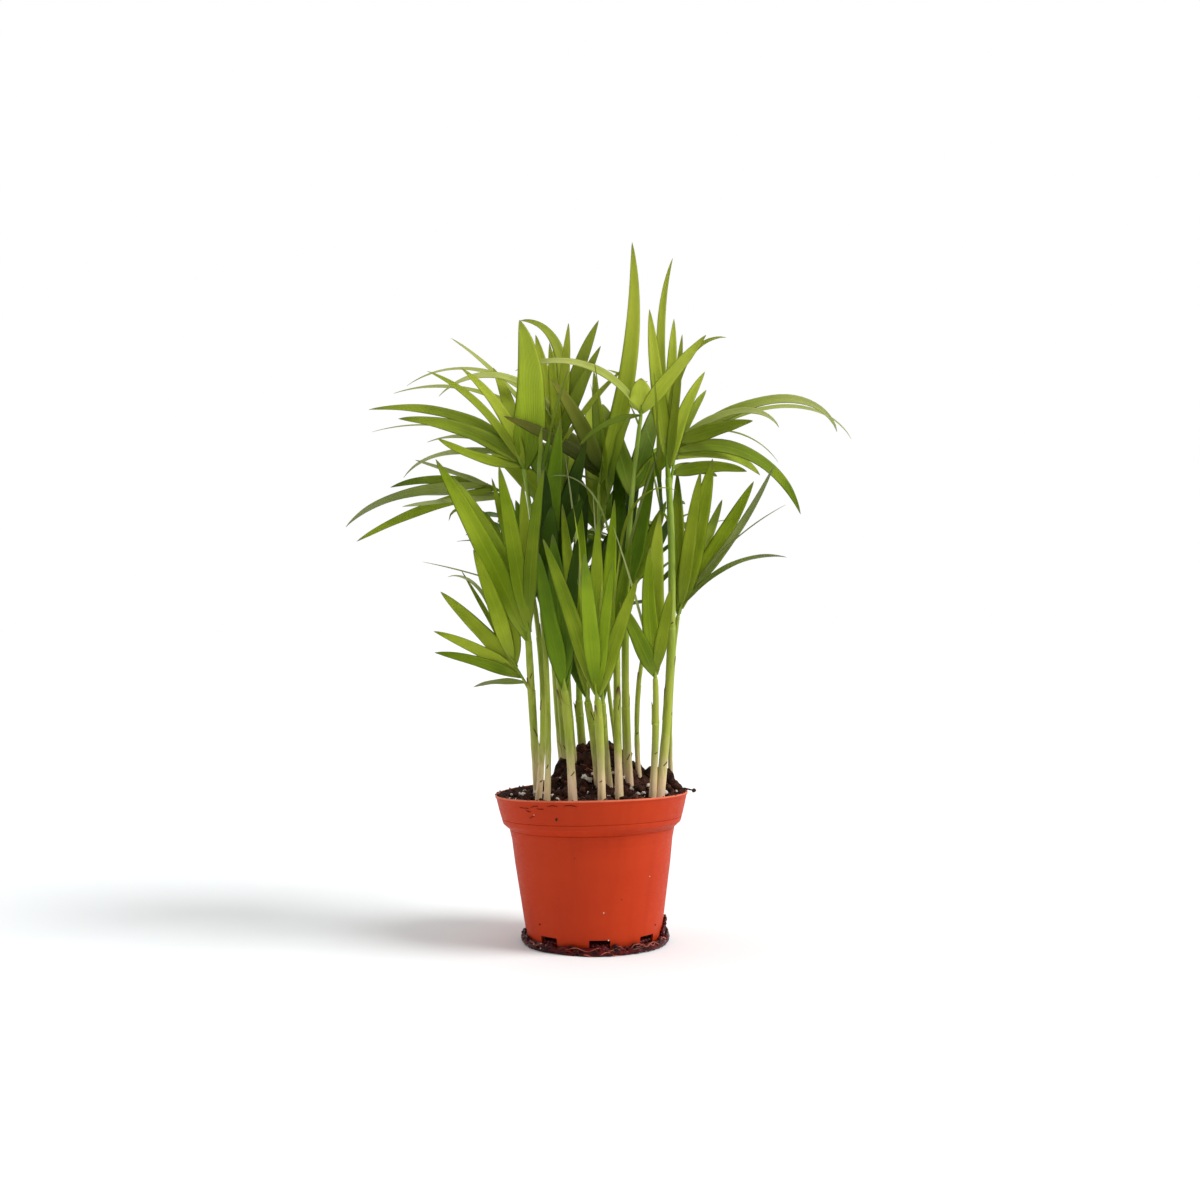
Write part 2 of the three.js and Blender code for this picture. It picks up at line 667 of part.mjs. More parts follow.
// A leaf as a slim blade with a creased upper side: a sphere of three sides, drawn out so that
// its poles are the tip and the root, which lies in the rib.
function blade(leaf) {
  const steps = LEAF_KNOTS.length - 1;
  const spindle = new THREE.SphereGeometry(1, 3, steps).rotateX(Math.PI / 2);
  const thick = Math.max(LEAF.thickness * leaf.length, LEAF.thinnest);
  return reshape(spindle, (p) => {
    const knot = Math.round((Math.acos(-p.z) / Math.PI) * steps);
    const s = LEAF_KNOTS[knot];
    const { point, way } = along(leaf.path, s);
    const across = acrossOf(leaf, way);
    const over = new THREE.Vector3().crossVectors(way, across);
    const half = halfWidth(s, leaf.width);
    const keel = thick * lerp(1, LEAF.tipThickness, s) + LEAF.crease * half;
    const corner = new THREE.Vector2(p.x, p.y);
    p.copy(point);
    if (corner.length() < 1e-6) return;
    if (Math.abs(corner.y) < 1e-6) p.addScaledVector(over, -keel);
    else p.addScaledVector(across, -Math.sign(corner.y) * half);
  });
}

// Points over a leaf or a stem, with the radius that is kept clear round each.
function leafSamples(leaf) {
  const samples = [];
  for (let i = 0; i < CLEAR.stations; i++) {
    const s = lerp(CLEAR.firstShare, 1, (i + 0.5) / CLEAR.stations);
    const { point, way } = along(leaf.path, s);
    const across = acrossOf(leaf, way);
    const half = CLEAR.widthShare * halfWidth(s, leaf.width);
    for (const side of [-1, 0, 1]) {
      const p = point.clone().addScaledVector(across, side * half);
      samples.push([p.x, p.y, p.z, CLEAR.leaf]);
    }
  }
  return samples;
}

// Points along a stalk, each with its radius and the extra space kept round it.
function stalkSamples(place, radius, count) {
  const samples = [];
  for (let i = 0; i <= count; i++) {
    const { point } = place(i / count);
    samples.push([point.x, point.y, point.z, radius(i / count) + CLEAR.stalk]);
  }
  return samples;
}

function boxOf(samples) {
  const box = new THREE.Box3();
  for (const [x, y, z] of samples) box.expandByPoint(new THREE.Vector3(x, y, z));
  return box.expandByScalar(CLEAR.leaf * 2);
}

const standing = [];

function stand(owner, samples) {
  standing.push({ owner, samples, box: boxOf(samples) });
}

// True where the samples keep clear of everything that stands on other stalks.
function isClear(samples, owners) {
  const box = boxOf(samples);
  for (const other of standing) {
    if (owners.includes(other.owner) || !other.box.intersectsBox(box)) continue;
    for (const [x, y, z, r] of samples)
      for (const [u, v, w, q] of other.samples)
        if ((x - u) ** 2 + (y - v) ** 2 + (z - w) ** 2 < (r + q) ** 2) return false;
  }
  return true;
}

// A leaf at share at of a rib, nudged out of its plane until it is clear, or null.
function placeLeaf(rib, shape, at, owners, nudgeName) {
  for (const nudge of NUDGES) {
    const leaf = { turn: 0, tilt: 0, ...shape };
    leaf[nudgeName] += nudge;
    leaf.length /= Math.max(Math.cos(TILT.average * leaf.tilt * DEG), LONGEST_STRETCH);
    leaf.path = pathOf(along(rib.path, at).point, leaf);
    const samples = leafSamples(leaf);
    if (isClear(samples, owners)) return { leaf, samples };
  }
  return null;
}

// ---- Fronds --------------------------------------------------------------------------------

// The rib of a frond: its path and its radius by share of its length.
function ribOf(row) {
  const stem = stems[row.stem];
  const share = row.z ? shareAtHeight(stem, row.z) : 1;
  const { point, way } = stem.place(share);
  const from = point.clone().addScaledVector(way, row.z ? 0 : -RIB.sunk);
  const thick = row.z ? RIB.side : stem.radius(1) * RIB.ofStem;
  const path = pathOf(from, { turn: row.turn, ...row.rib });
  return { path, place: (t) => along(path, t), radius: (t) => lerp(thick, RIB.tip, t) };
}

function fanLeaves(row) {
  const side = row.turn ?? 0;
  return row.leaves.map(([at, lean, bend, length, width, face, tilt, late, turn = side]) => ({
    at,
    shape: { turn, lean, bend, length, width, face, tilt, late },
    nudge: "tilt",
  }));
}

function featherLeaves(row) {
  const random = randomFrom(row.seed);
  const uneven = (by) => (random() - 0.5) * by;
  const part = ([first, last], share) => lerp(first, last, share);
  const [longest, widest] = row.leaf;
  const leaves = [];
  for (let i = 0; i < row.pairs; i++) {
    const share = i / (row.pairs - 1);
    const at = part(LEAFLET.at, share);
    const lean = row.rib.lean + row.rib.bend * at ** USUAL_LATE + part(LEAFLET.rise, share);
    const short = 1 - LEAFLET.taper.by * Math.abs(share - LEAFLET.taper.from);
    for (const side of [-1, 1]) {
      const spread = part(LEAFLET.spread, share) + uneven(LEAFLET.uneven.spread);
      const shape = {
        turn: row.rib.turn + side * spread,
        lean: lean + uneven(LEAFLET.uneven.rise),
        bend: LEAFLET.bend + uneven(LEAFLET.uneven.bend),
        length: longest * short * (1 + uneven(LEAFLET.uneven.size)),
        width: widest * (1 + uneven(LEAFLET.uneven.size)),
        face: side * (LEAFLET.face + uneven(LEAFLET.uneven.face)),
      };
      leaves.push({ at, shape, nudge: "turn" });
    }
  }
  return leaves;
}

// The solid of a frond: its rib and each leaf that finds a clear place.
function makeFrond({ name, row, rib, leaves }) {
  let frond = solidOf(stalk(rib.place, rib.radius, STALK_SIDES, STALK_STEPS));
  for (const { at, shape, nudge } of leaves) {
    const placed = placeLeaf(rib, shape, at, [name, row.stem], nudge);
    if (!placed) continue;
    stand(name, placed.samples);
    frond = frond.add(solidOf(blade(placed.leaf)));
  }
  return frond;
}

// ---- The plant -----------------------------------------------------------------------------

const LOOKS = {
  pot: { color: 0xb2381e, roughness: 0.42, metalness: 0 },
  soil: { color: 0x2a1a14, roughness: 0.95, metalness: 0 },
  mat: { color: 0x3a2220, roughness: 0.95, metalness: 0 },
  stem: { color: 0x9aa64f, roughness: 0.5, metalness: 0 },
  fan: { color: 0x7d9a1c, roughness: 0.55, metalness: 0 },
  feather: { color: 0x4d7314, roughness: 0.55, metalness: 0 },
};

const plant = new THREE.Group();
plant.name = "parlour_palm";

function addNode(name, geometry, look) {
  const mesh = new THREE.Mesh(geometry, new THREE.MeshStandardMaterial(look));
  mesh.name = name;
  plant.add(mesh);
}

addNode("pot", makePot(), LOOKS.pot);
addNode("root_mat", makeRootMat(), LOOKS.mat);
addNode("soil", makeSoil(), LOOKS.soil);

const soilCutter = solidOf(makeSoil(GAP));
const stemCutters = [];
for (const [name, stem] of Object.entries(stems)) {
  addNode(name, geometryOf(mainPart(makeStem(name).subtract(soilCutter))), LOOKS.stem);
  stemCutters.push(makeStem(name, GAP));
  stand(name, stalkSamples(stem.place, stem.radius, STEM_STATIONS));
}

const fronds = [];
for (const [name, row] of Object.entries(FANS))
  fronds.push({ name, row, look: LOOKS.fan, rib: ribOf(row), leaves: fanLeaves(row) });
for (const [name, row] of Object.entries(FEATHERS))
  fronds.push({ name, row, look: LOOKS.feather, rib: ribOf(row), leaves: featherLeaves(row) });
for (const { name, rib } of fronds)
  stand(name, stalkSamples(rib.place, rib.radius, RIB_STATIONS));

for (const frond of fronds) {
  const solid = makeFrond(frond);
  const cut = stemCutters.reduce((left, cutter) => left.subtract(cutter), solid);
  addNode(frond.name, geometryOf(mainPart(cut)), frond.look);
}

export default plant;
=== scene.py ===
"""A parlour palm in its nursery pot: the dressed model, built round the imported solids.

The plant grows here by the same rule as its solids: stems stand in the soil, ribs leave the stems,
and each leaf takes the first place on its rib where it keeps clear of all that stands already.
Sizes are millimetres; meshes are written in metres. +Z is up and -Y is the front.
"""

import logging
import math
from dataclasses import dataclass, field
from enum import Enum
from typing import Callable, Iterable, Optional, Sequence

import bpy
import numpy as np
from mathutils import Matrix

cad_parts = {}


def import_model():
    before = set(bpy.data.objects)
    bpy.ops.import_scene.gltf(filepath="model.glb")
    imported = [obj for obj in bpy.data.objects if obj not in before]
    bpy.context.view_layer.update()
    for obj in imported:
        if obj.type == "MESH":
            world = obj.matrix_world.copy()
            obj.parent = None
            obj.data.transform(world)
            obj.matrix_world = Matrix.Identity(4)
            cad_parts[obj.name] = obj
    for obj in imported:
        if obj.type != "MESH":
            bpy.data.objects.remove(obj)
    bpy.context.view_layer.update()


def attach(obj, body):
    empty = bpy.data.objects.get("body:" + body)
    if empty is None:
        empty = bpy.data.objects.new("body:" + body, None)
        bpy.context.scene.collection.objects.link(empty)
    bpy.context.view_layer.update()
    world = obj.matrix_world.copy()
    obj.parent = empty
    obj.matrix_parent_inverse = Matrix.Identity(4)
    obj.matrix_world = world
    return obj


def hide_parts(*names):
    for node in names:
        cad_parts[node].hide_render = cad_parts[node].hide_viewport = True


log = logging.getLogger("parlour_palm")

MM = 0.001  # metres in a millimetre
FULL_TURN = 2 * math.pi
Array = np.ndarray
Number = float | np.ndarray
Socket = bpy.types.NodeSocket
Colour = tuple[int, int, int]  # red, green and blue, from 0 to 255
Rows = tuple[tuple[float, ...], ...]  # a table


# ---- Small helpers -------------------------------------------------------------------------


def srgb(colour: Colour) -> tuple[float, float, float, float]:
    """Turns a colour into linear light.

    Args:
        colour: Red, green and blue, from 0 to 255.

    Returns:
        Linear red, green, blue and an alpha of 1.
    """
    share = np.array(colour) / 255
    linear = np.where(share <= 0.04045, share / 12.92, ((share + 0.055) / 1.055) ** 2.4)
    return (*(float(v) for v in linear), 1.0)


def lerp(a: Number, b: Number, t: Number) -> Number:
    """Gives a at t 0, b at t 1, and the straight line between."""
    return a + (b - a) * t


def unit(vectors: Array) -> Array:
    """Gives each vector of the last axis the length 1."""
    return vectors / np.maximum(np.linalg.norm(vectors, axis=-1, keepdims=True), 1e-12)


def turned(vectors: Array, axes: Array, angle: Number) -> Array:
    """Turns vectors about unit axes: v cos a + (axis x v) sin a + axis (axis . v)(1 - cos a).

    Args:
        vectors: The vectors, n by 3.
        axes: The unit axes, n by 3.
        angle: The angles in radians, n or one.

    Returns:
        The turned vectors, n by 3.
    """
    cos, sin = np.cos(angle)[..., None], np.sin(angle)[..., None]
    along = (axes * vectors).sum(-1, keepdims=True)
    return vectors * cos + np.cross(axes, vectors) * sin + axes * along * (1 - cos)


def around(radius: Number, angle: Number, height: Number, middle: float = 0.0) -> Array:
    """Places round an upright axis: (r cos a + middle, r sin a, height).

    Args:
        radius: How far each place is from the axis.
        angle: Where it stands about the axis, in radians from the right.
        height: How high it stands.
        middle: How far the axis itself stands to the right.

    Returns:
        The places, in the common shape of the first three by 3.
    """
    sides = radius * np.cos(angle) + middle, radius * np.sin(angle), height
    return np.stack(np.broadcast_arrays(*sides), -1)


def waves(points: Array, scale: float, seed: int, count: int = 9) -> Array:
    """A smooth random field: sines over random directions and phases, added and evened out.

    Args:
        points: The places, n by 1, 2 or 3, in millimetres.
        scale: The usual distance from crest to crest.
        seed: The seed of the directions.
        count: How many sines are added.

    Returns:
        A value for each place, seldom beyond -1.5 or 1.5.
    """
    random = np.random.default_rng(seed)
    ways = random.normal(size=(count, points.shape[-1]))
    ways = unit(ways) * (FULL_TURN / scale) * random.uniform(0.6, 1.6, (count, 1))
    phases = random.uniform(0, FULL_TURN, count)
    return np.sin(points @ ways.T + phases).sum(-1) / math.sqrt(count)


@dataclass
class Shell:
    """The parts of a mesh while it is put together: closed grids, each with a finish and a UV."""

    points: list[Array] = field(default_factory=list)
    faces: list[Array] = field(default_factory=list)
    finishes: list[Array] = field(default_factory=list)
    uvs: list[Array] = field(default_factory=list)
    tones: list[Array] = field(default_factory=list)
    count: int = 0

    def add(self, points: Array, faces: Array, finish: int, uv: Optional[Array] = None,
            tone: float = 0.5) -> None:
        """Adds points and four-cornered faces.

        Args:
            points: The points, n by 3, in millimetres.
            faces: The corners of each face, m by 4; a triangle repeats its last corner.
            finish: The material slot of the faces.
            uv: The UV of each corner, m by 4 by 2, or none.
            tone: How light this part is among its like, from 0 to 1.
        """
        self.points.append(points)
        self.faces.append(faces + self.count)
        self.finishes.append(np.full(len(faces), finish))
        self.uvs.append(np.zeros((len(faces), 4, 2)) if uv is None else uv)
        self.tones.append(np.full((len(faces), 4, 2), tone))
        self.count += len(points)

    def tube(self, rings: Array, finish: int, uv: Optional[Array] = None, tone: float = 0.5) -> None:
        """Adds a closed body of rings: walls between neighbours, and a fan of faces at each end.

        Args:
            rings: The points, rings by sides by 3, turning right-handed about the way along.
            finish: The material slot.
            uv: The UV of each point with one more side for the seam, rings by sides + 1 by 2.
            tone: How light this part is among its like, from 0 to 1.
        """
        count, sides = rings.shape[:2]
        middles = np.stack([rings[0].mean(0), rings[-1].mean(0)])
        points = np.concatenate([rings.reshape(-1, 3), middles])
        i, j = np.meshgrid(np.arange(count - 1), np.arange(sides), indexing="ij")
        after = (j + 1) % sides
        wall = np.stack([i * sides + j, i * sides + after, (i + 1) * sides + after,
                         (i + 1) * sides + j], -1).reshape(-1, 4)
        k = np.arange(sides)
        low = np.stack([np.full(sides, count * sides), (k + 1) % sides, k, k], -1)
        base = (count - 1) * sides
        high = np.stack([np.full(sides, count * sides + 1), base + k, base + (k + 1) % sides,
                         base + (k + 1) % sides], -1)
        if uv is None:
            u, v = np.meshgrid(np.arange(sides + 1) / sides, np.arange(count) / (count - 1))
            uv = np.stack([u, v], -1)
        walls = np.stack([uv[:-1, :-1], uv[:-1, 1:], uv[1:, 1:], uv[1:, :-1]], 2)
        ends = [np.repeat(row.mean(0)[None, None], sides, 0).repeat(4, 1) for row in (uv[0], uv[-1])]
        faces = np.concatenate([wall, low, high])
        self.add(points, faces, finish, np.concatenate([walls.reshape(-1, 4, 2), *ends]), tone)

    def piece(self, name: str, slots: Sequence[bpy.types.Material]) -> bpy.types.Object:
        """Makes the object.

        Args:
            name: The object's name.
            slots: The materials of the finishes.

        Returns:
            The object, at the origin, with smooth faces and a UV map for its surface and its tone.
        """
        points = np.concatenate(self.points) * MM
        faces = np.concatenate(self.faces)
        corners = np.concatenate(self.uvs)
        three = faces[:, 2] == faces[:, 3]
        sizes = np.where(three, 3, 4)
        keep = np.ones(faces.shape, bool)
        keep[three, 3] = False
        mesh = bpy.data.meshes.new(name)
        mesh.vertices.add(len(points))
        mesh.vertices.foreach_set("co", points.ravel())
        mesh.loops.add(int(sizes.sum()))
        mesh.loops.foreach_set("vertex_index", faces[keep])
        mesh.polygons.add(len(faces))
        mesh.polygons.foreach_set("loop_start", np.concatenate([[0], sizes.cumsum()[:-1]]))
        mesh.polygons.foreach_set("material_index", np.concatenate(self.finishes))
        mesh.polygons.foreach_set("use_smooth", np.ones(len(faces), bool))
        mesh.uv_layers.new(name="surface").data.foreach_set("uv", corners[keep].ravel())
        tones = np.concatenate(self.tones)
        mesh.uv_layers.new(name="tone").data.foreach_set("uv", tones[keep].ravel())
        mesh.update(calc_edges=True)
        mesh.validate()
        for material in slots:
            mesh.materials.append(material)
        return put(name, mesh)


def put(name: str, data: bpy.types.ID) -> bpy.types.Object:
    """Puts a new object into the scene, at the origin.

    Args:
        name: Its name.
        data: Its mesh, light or camera.

    Returns:
        The object.
    """
    made = bpy.data.objects.new(name, data)
    bpy.context.scene.collection.objects.link(made)
    return made


def seat(piece: bpy.types.Object, nodes: Iterable[str] = ()) -> None:
    """Lets a piece ride on the body and take its place in the model.

    Args:
        piece: The piece.
        nodes: The nodes that it stands for.
    """
    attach(piece, "root")
    if nodes:
        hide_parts(*nodes)
    log.info("%s: %d faces, for %s", piece.name, len(piece.data.polygons), list(nodes) or "no node")


# ---- Finishes ------------------------------------------------------------------------------

RANGE = ("From Min", "From Max", "To Min", "To Max")  # the sockets of a map range node


class Nodes:
    """A node tree while it is wired."""

    def __init__(self, tree: bpy.types.NodeTree) -> None:
        """Takes up a tree."""
        self.tree = tree

    def link(self, source: object, socket: Socket) -> None:
        """Feeds a socket.

        Args:
            source: The socket that feeds it, or a value.
            socket: The socket that is fed.
        """
        if isinstance(source, Socket):
            self.tree.links.new(source, socket)
        else:
            socket.default_value = source

    def node(self, kind: str, feeds: Optional[dict] = None, **settings: object) -> bpy.types.Node:
        """Adds a node.

        Args:
            kind: Its type.
            feeds: What feeds its sockets, by their names or numbers: other sockets, or values.
            settings: Its properties.

        Returns:
            The node.
        """
        made = self.tree.nodes.new(kind)
        for name, value in settings.items():
            setattr(made, name, value)
        for name, source in (feeds or {}).items():
            self.link(source, made.inputs[name])
        return made


class Shader(Nodes):
    """A material's node tree while it is wired: short calls for the nodes that finishes use."""

    def __init__(self, name: str) -> None:
        """Starts a material with one Principled shader.

        Args:
            name: The material's name.
        """
        self.material = bpy.data.materials.new(name)
        self.material.use_nodes = True
        super().__init__(self.material.node_tree)
        self.surface = self.tree.nodes["Principled BSDF"]
        self.place = self.node("ShaderNodeTexCoord").outputs["Object"]

    def uv(self, name: str) -> Socket:
        """The place on a UV map."""
        return self.node("ShaderNodeUVMap", uv_map=name).outputs[0]

    def split(self, vector: Socket) -> list[Socket]:
        """The three numbers of a vector."""
        return list(self.node("ShaderNodeSeparateXYZ", {0: vector}).outputs)

    def math(self, operation: str, a: object, b: object = 0.0) -> Socket:
        """What an operation, such as ADD, makes of two values."""
        return self.node("ShaderNodeMath", {0: a, 1: b}, operation=operation).outputs[0]

    def spread(self, value: object, low: float, high: float, to_low: float = 0.0,
               to_high: float = 1.0) -> Socket:
        """Maps a value from one range to another, smoothly and without leaving it."""
        feeds = {"Value": value, **dict(zip(RANGE, (low, high, to_low, to_high)))}
        return self.node("ShaderNodeMapRange", feeds, interpolation_type="SMOOTHSTEP").outputs["Result"]

    def noise(self, scale: float, detail: float = 3.0, rough: float = 0.55,
              stretch: tuple[float, float, float] = (1.0, 1.0, 1.0),
              where: Optional[Socket] = None) -> Socket:
        """Adds a noise.

        Args:
            scale: How many of its clouds stand in a metre, or in the UV map.
            detail: How many finer clouds are laid over them.
            rough: How much the finer ones count.
            stretch: How much closer the clouds stand in each direction.
            where: The places that it is taken at, or none for Object coordinates.

        Returns:
            The noise, from 0 to 1.
        """
        places = self.node("ShaderNodeMapping", {"Vector": where or self.place, "Scale": stretch})
        feeds = {"Vector": places.outputs[0], "Scale": scale, "Detail": detail, "Roughness": rough}
        return self.node("ShaderNodeTexNoise", feeds).outputs["Fac"]

    def mix(self, share: object, a: object, b: object, blend: str = "MIX") -> Socket:
        """Mixes two colours by a share of the second one."""
        feeds = {0: share, 6: a, 7: b}
        return self.node("ShaderNodeMix", feeds, data_type="RGBA", blend_type=blend).outputs[2]

    def lay(self, skin: Socket, over: Colour, *share: object) -> Socket:
        """Lays a colour over a skin, by a share that spread gives."""
        return self.mix(self.spread(*share), skin, srgb(over))

    def stain(self, skin: Socket, glass: tuple[float, float, float], *share: object) -> Socket:
        """Darkens a skin as coloured glass does, by a share that spread gives."""
        return self.mix(self.spread(*share), skin, self.mix(1.0, skin, (*glass, 1.0), "MULTIPLY"))

    def bump(self, height: object, depth: float, strength: float = 1.0) -> None:
        """Raises the surface by a height, depth metres from low to high."""
        made = self.node("ShaderNodeBump", {"Height": height, "Distance": depth, "Strength": strength})
        self.link(made.outputs[0], self.surface.inputs["Normal"])

    def dress(self, **sockets: object) -> bpy.types.Material:
        """Sets or feeds the shader's sockets.

        Args:
            sockets: What each gets, by its name with _ for a space.

        Returns:
            The finished material.
        """
        for name, value in sockets.items():
            self.link(value, self.surface.inputs[name.replace("_", " ")])
        return self.material


CROWN_TOP = (228, 232, 92)  # the leaves pale towards this colour at the top of the crown
CROWN_HEIGHTS = (0.28, 0.39)  # the heights in metres between which they do
DRY_BROWN = (104, 74, 40)  # of the point of a sheath's mouth


@dataclass(frozen=True)
class LeafFinish:
    """The skin of a leaf: streaks along it, a pale midrib, a root colour and a drier tip; for the fresh green
    the root colour is darker, a painted shade over the lower part.

    The UV's u runs across the leaf and its v from root to tip; the tone UV tells leaves apart.
    """

    name: str
    base: Colour
    light: Colour
    roughness: float = 0.38
    tip: Colour = (118, 112, 74)
    root: Colour = (150, 168, 62)
    veins: float = 17.0
    dry: float = 0.9

    def make(self) -> bpy.types.Material:
        """Wires the finish: base and light mixed by tone, streaks and patches, then root and tip.

        Returns:
            The material.
        """
        s = Shader(self.name)
        uv = s.uv("surface")
        across, along, _ = s.split(uv)
        tone, height = s.split(s.uv("tone"))[0], s.split(s.place)[2]
        streak = s.noise(1.0, 4.0, 0.6, (34.0, 1.6, 1.0), uv)
        rib = s.math("ABSOLUTE", s.math("SUBTRACT", across, 0.5))
        ridge = s.math("SINE", s.math("MULTIPLY", across, self.veins * FULL_TURN))
        streaks = s.spread(streak, 0.3, 0.75, 0.0, 0.3)
        patches = s.spread(s.noise(22.0, 2.0), 0.35, 0.7, 0.0, 0.35)
        share = s.math("ADD", s.math("ADD", streaks, patches), s.math("MULTIPLY", tone, 0.5))
        skin = s.mix(s.spread(share, 0.1, 1.0), srgb(self.base), srgb(self.light))
        skin = s.stain(skin, (0.55, 0.66, 0.3), s.noise(70.0, 3.0), 0.35, 0.7, 0.0, 0.3)
        skin = s.lay(skin, self.light, rib, 0.0, 0.03, 0.35, 0.0)
        # The root colour: paler at the root for most greens; for the fresh green it is darker, a painted
        # shade over the lower part of the leaf.
        skin = s.lay(skin, self.root, along, 0.0, 0.3, 0.55, 0.0)
        skin = s.lay(skin, self.tip, rib, 0.45, 0.5, 0.0, 0.2)
        skin = s.lay(skin, self.tip, along, self.dry, 1.0, 0.0, 0.5)
        skin = s.lay(skin, CROWN_TOP, height, *CROWN_HEIGHTS, 0.0, 0.32)
        s.bump(s.math("ADD", s.math("MULTIPLY", ridge, 0.35), streak), 0.00022, 0.8)
        rough = s.spread(streak, 0.2, 0.8, self.roughness, self.roughness + 0.2)
        return s.dress(Base_Color=skin, Roughness=rough, Specular_IOR_Level=0.12)


class Tint(Enum):
    """The greens of the leaves, by the letter that the fronds' tables use."""

    L = LeafFinish("leaf_lime", (124, 148, 10), (174, 188, 52))
    # F's darker root colour is painted shade over the lower part of the leaf.
    F = LeafFinish("leaf_fresh", (92, 122, 8), (146, 172, 26), root=(84, 104, 20))
    M = LeafFinish("leaf_mid", (90, 116, 5), (152, 168, 38))
    D = LeafFinish("leaf_deep", (60, 88, 3), (104, 134, 14), root=(110, 138, 30))
    # K: a dark green with painted shade, for the leaves deep inside the crown
    K = LeafFinish("leaf_dark", (36, 58, 3), (68, 96, 8), tip=(52, 58, 20), root=(80, 112, 20))
    W = LeafFinish("leaf_worn", (56, 66, 10), (94, 104, 28), tip=(88, 76, 34), root=(60, 78, 12), dry=0.5)
    O = LeafFinish("leaf_olive", (118, 136, 48), (178, 186, 112), tip=(148, 150, 118), veins=7.0, dry=0.35)
    # B: a brighter lime that paints light on leaves which face away from the lamps
    B = LeafFinish("leaf_bright", (170, 190, 36), (204, 216, 88), root=(180, 196, 74))

    @property
    def slot(self) -> int:
        """The material slot of this green in a frond."""
        return list(Tint).index(self)


@dataclass(frozen=True)
class CaneFinish:
    """The skin of a stem: cream at the foot, then pale green, then green, with soft streaks."""

    name: str
    foot: Colour
    shank: Colour
    top: Colour
    flap: bool = False
    pales: tuple[float, float] = (0.095, 0.132)  # the heights in metres between which foot ends
    greens: tuple[float, float] = (0.15, 0.26)  # and those between which the top's green begins

    def make(self) -> bpy.types.Material:
        """Wires the finish: colours by height, streaks, and a brown point where it has a flap.

        Returns:
            The material.
        """
        s = Shader(self.name)
        wander = s.math("MULTIPLY", s.math("SUBTRACT", s.noise(90.0, 2.0), 0.5), 0.02)
        height = s.math("ADD", s.split(s.place)[2], wander)
        streak = s.noise(520.0, 4.0, 0.6, (1.0, 1.0, 0.04))
        blush = s.noise(60.0, 3.0, 0.6, (1.0, 1.0, 0.5))
        skin = s.mix(s.spread(height, *self.pales), srgb(self.foot), srgb(self.shank))
        skin = s.lay(skin, self.top, height, *self.greens)
        skin = s.stain(skin, (0.56, 0.68, 0.3), streak, 0.4, 0.68, 0.0, 0.6)
        skin = s.stain(skin, (0.78, 0.95, 0.5), blush, 0.42, 0.66, 0.0, 0.4)
        if self.flap:
            across, along, _ = s.split(s.uv("surface"))
            side = s.math("ABSOLUTE", s.math("SUBTRACT", across, 0.5))
            ragged = s.math("ADD", along, s.math("MULTIPLY", streak, 0.1))
            worn = s.math("MULTIPLY", s.spread(side, 0.02, 0.2, 1.0, 0.0), s.spread(ragged, 0.9, 1.03))
            skin = s.mix(worn, skin, srgb(DRY_BROWN))
        s.bump(streak, 0.00016, 0.6)
        return s.dress(Base_Color=skin, Roughness=s.spread(streak, 0.2, 0.8, 0.38, 0.55),
                       Specular_IOR_Level=0.2, Subsurface_Weight=0.12,
                       Subsurface_Radius=(0.0018, 0.0018, 0.0005), Subsurface_Scale=1.0)


@dataclass(frozen=True)
class EarthFinish:
    """Something rough that is dug out of the ground: two colours, grain and a damp shine."""

    name: str
    dark: Colour
    light: Colour
    scale: float
    roughness: float
    depth: float
    damp: float = 0.0
    shine: float = 0.3
    grain: float = 1.0

    def make(self) -> bpy.types.Material:
        """Wires the finish: coarse patches and fine grain mix the colours and lift the surface.

        Returns:
            The material.
        """
        s = Shader(self.name)
        coarse = s.noise(self.scale, 1.0 + 3.0 * self.grain, 0.6)
        fine = s.noise(self.scale * 5, 3.0, 0.7)
        share = s.math("ADD", s.spread(coarse, 0.35, 0.7, 0.0, 0.6), s.spread(fine, 0.4, 0.75, 0.0, 0.4))
        s.bump(s.math("ADD", coarse, s.math("MULTIPLY", fine, 0.4 * self.grain)), self.depth)
        return s.dress(Base_Color=s.mix(share, srgb(self.dark), srgb(self.light)),
                       Specular_IOR_Level=self.shine,
                       Roughness=s.spread(coarse, 0.3, 0.7, self.roughness, self.roughness - self.damp))


class Earth(Enum):
    """The soil, the roots and the dry bits, with scale, roughness, depth, damp, shine and grain."""

    PEAT = EarthFinish("peat", (15, 6, 3), (84, 42, 24), 210.0, 0.92, 0.0018, 0.2, 0.18)
    BARK = EarthFinish("bark_bits", (58, 28, 20), (122, 76, 54), 260.0, 0.85, 0.0006)
    FIBRE = EarthFinish("fibre", (110, 62, 42), (168, 116, 84), 300.0, 0.8, 0.0002)
    PERLITE = EarthFinish("perlite", (196, 186, 174), (240, 234, 226), 500.0, 0.8, 0.0003)
    MAT = EarthFinish("root_mat", (34, 6, 8), (98, 24, 24), 150.0, 0.34, 0.0004, 0.1, 0.12, 0.0)
    FINE_ROOT = EarthFinish("fine_root", (126, 50, 36), (204, 122, 100), 120.0, 0.4, 0.0002, 0.1, 0.2, 0.0)
    CAUGHT = EarthFinish("perlite_caught", (200, 184, 172), (240, 230, 222), 500.0, 0.8, 0.0003)
    CRUMB = EarthFinish("crumb", (40, 20, 15), (86, 48, 34), 300.0, 0.9, 0.0003)
    PALE_CRUMB = EarthFinish("crumb_pale", (196, 176, 160), (236, 222, 208), 500.0, 0.8, 0.0002)
    STUCK_ROOT = EarthFinish("stuck_root", (96, 20, 8), (138, 40, 20), 300.0, 0.7, 0.0001, shine=0.1)
    DRY_MARK = EarthFinish("dry_mark", (70, 46, 24), (116, 84, 46), 600.0, 0.8, 0.0001)

    def make(self) -> bpy.types.Material:
        """The material of this finish."""
        return self.value.make()


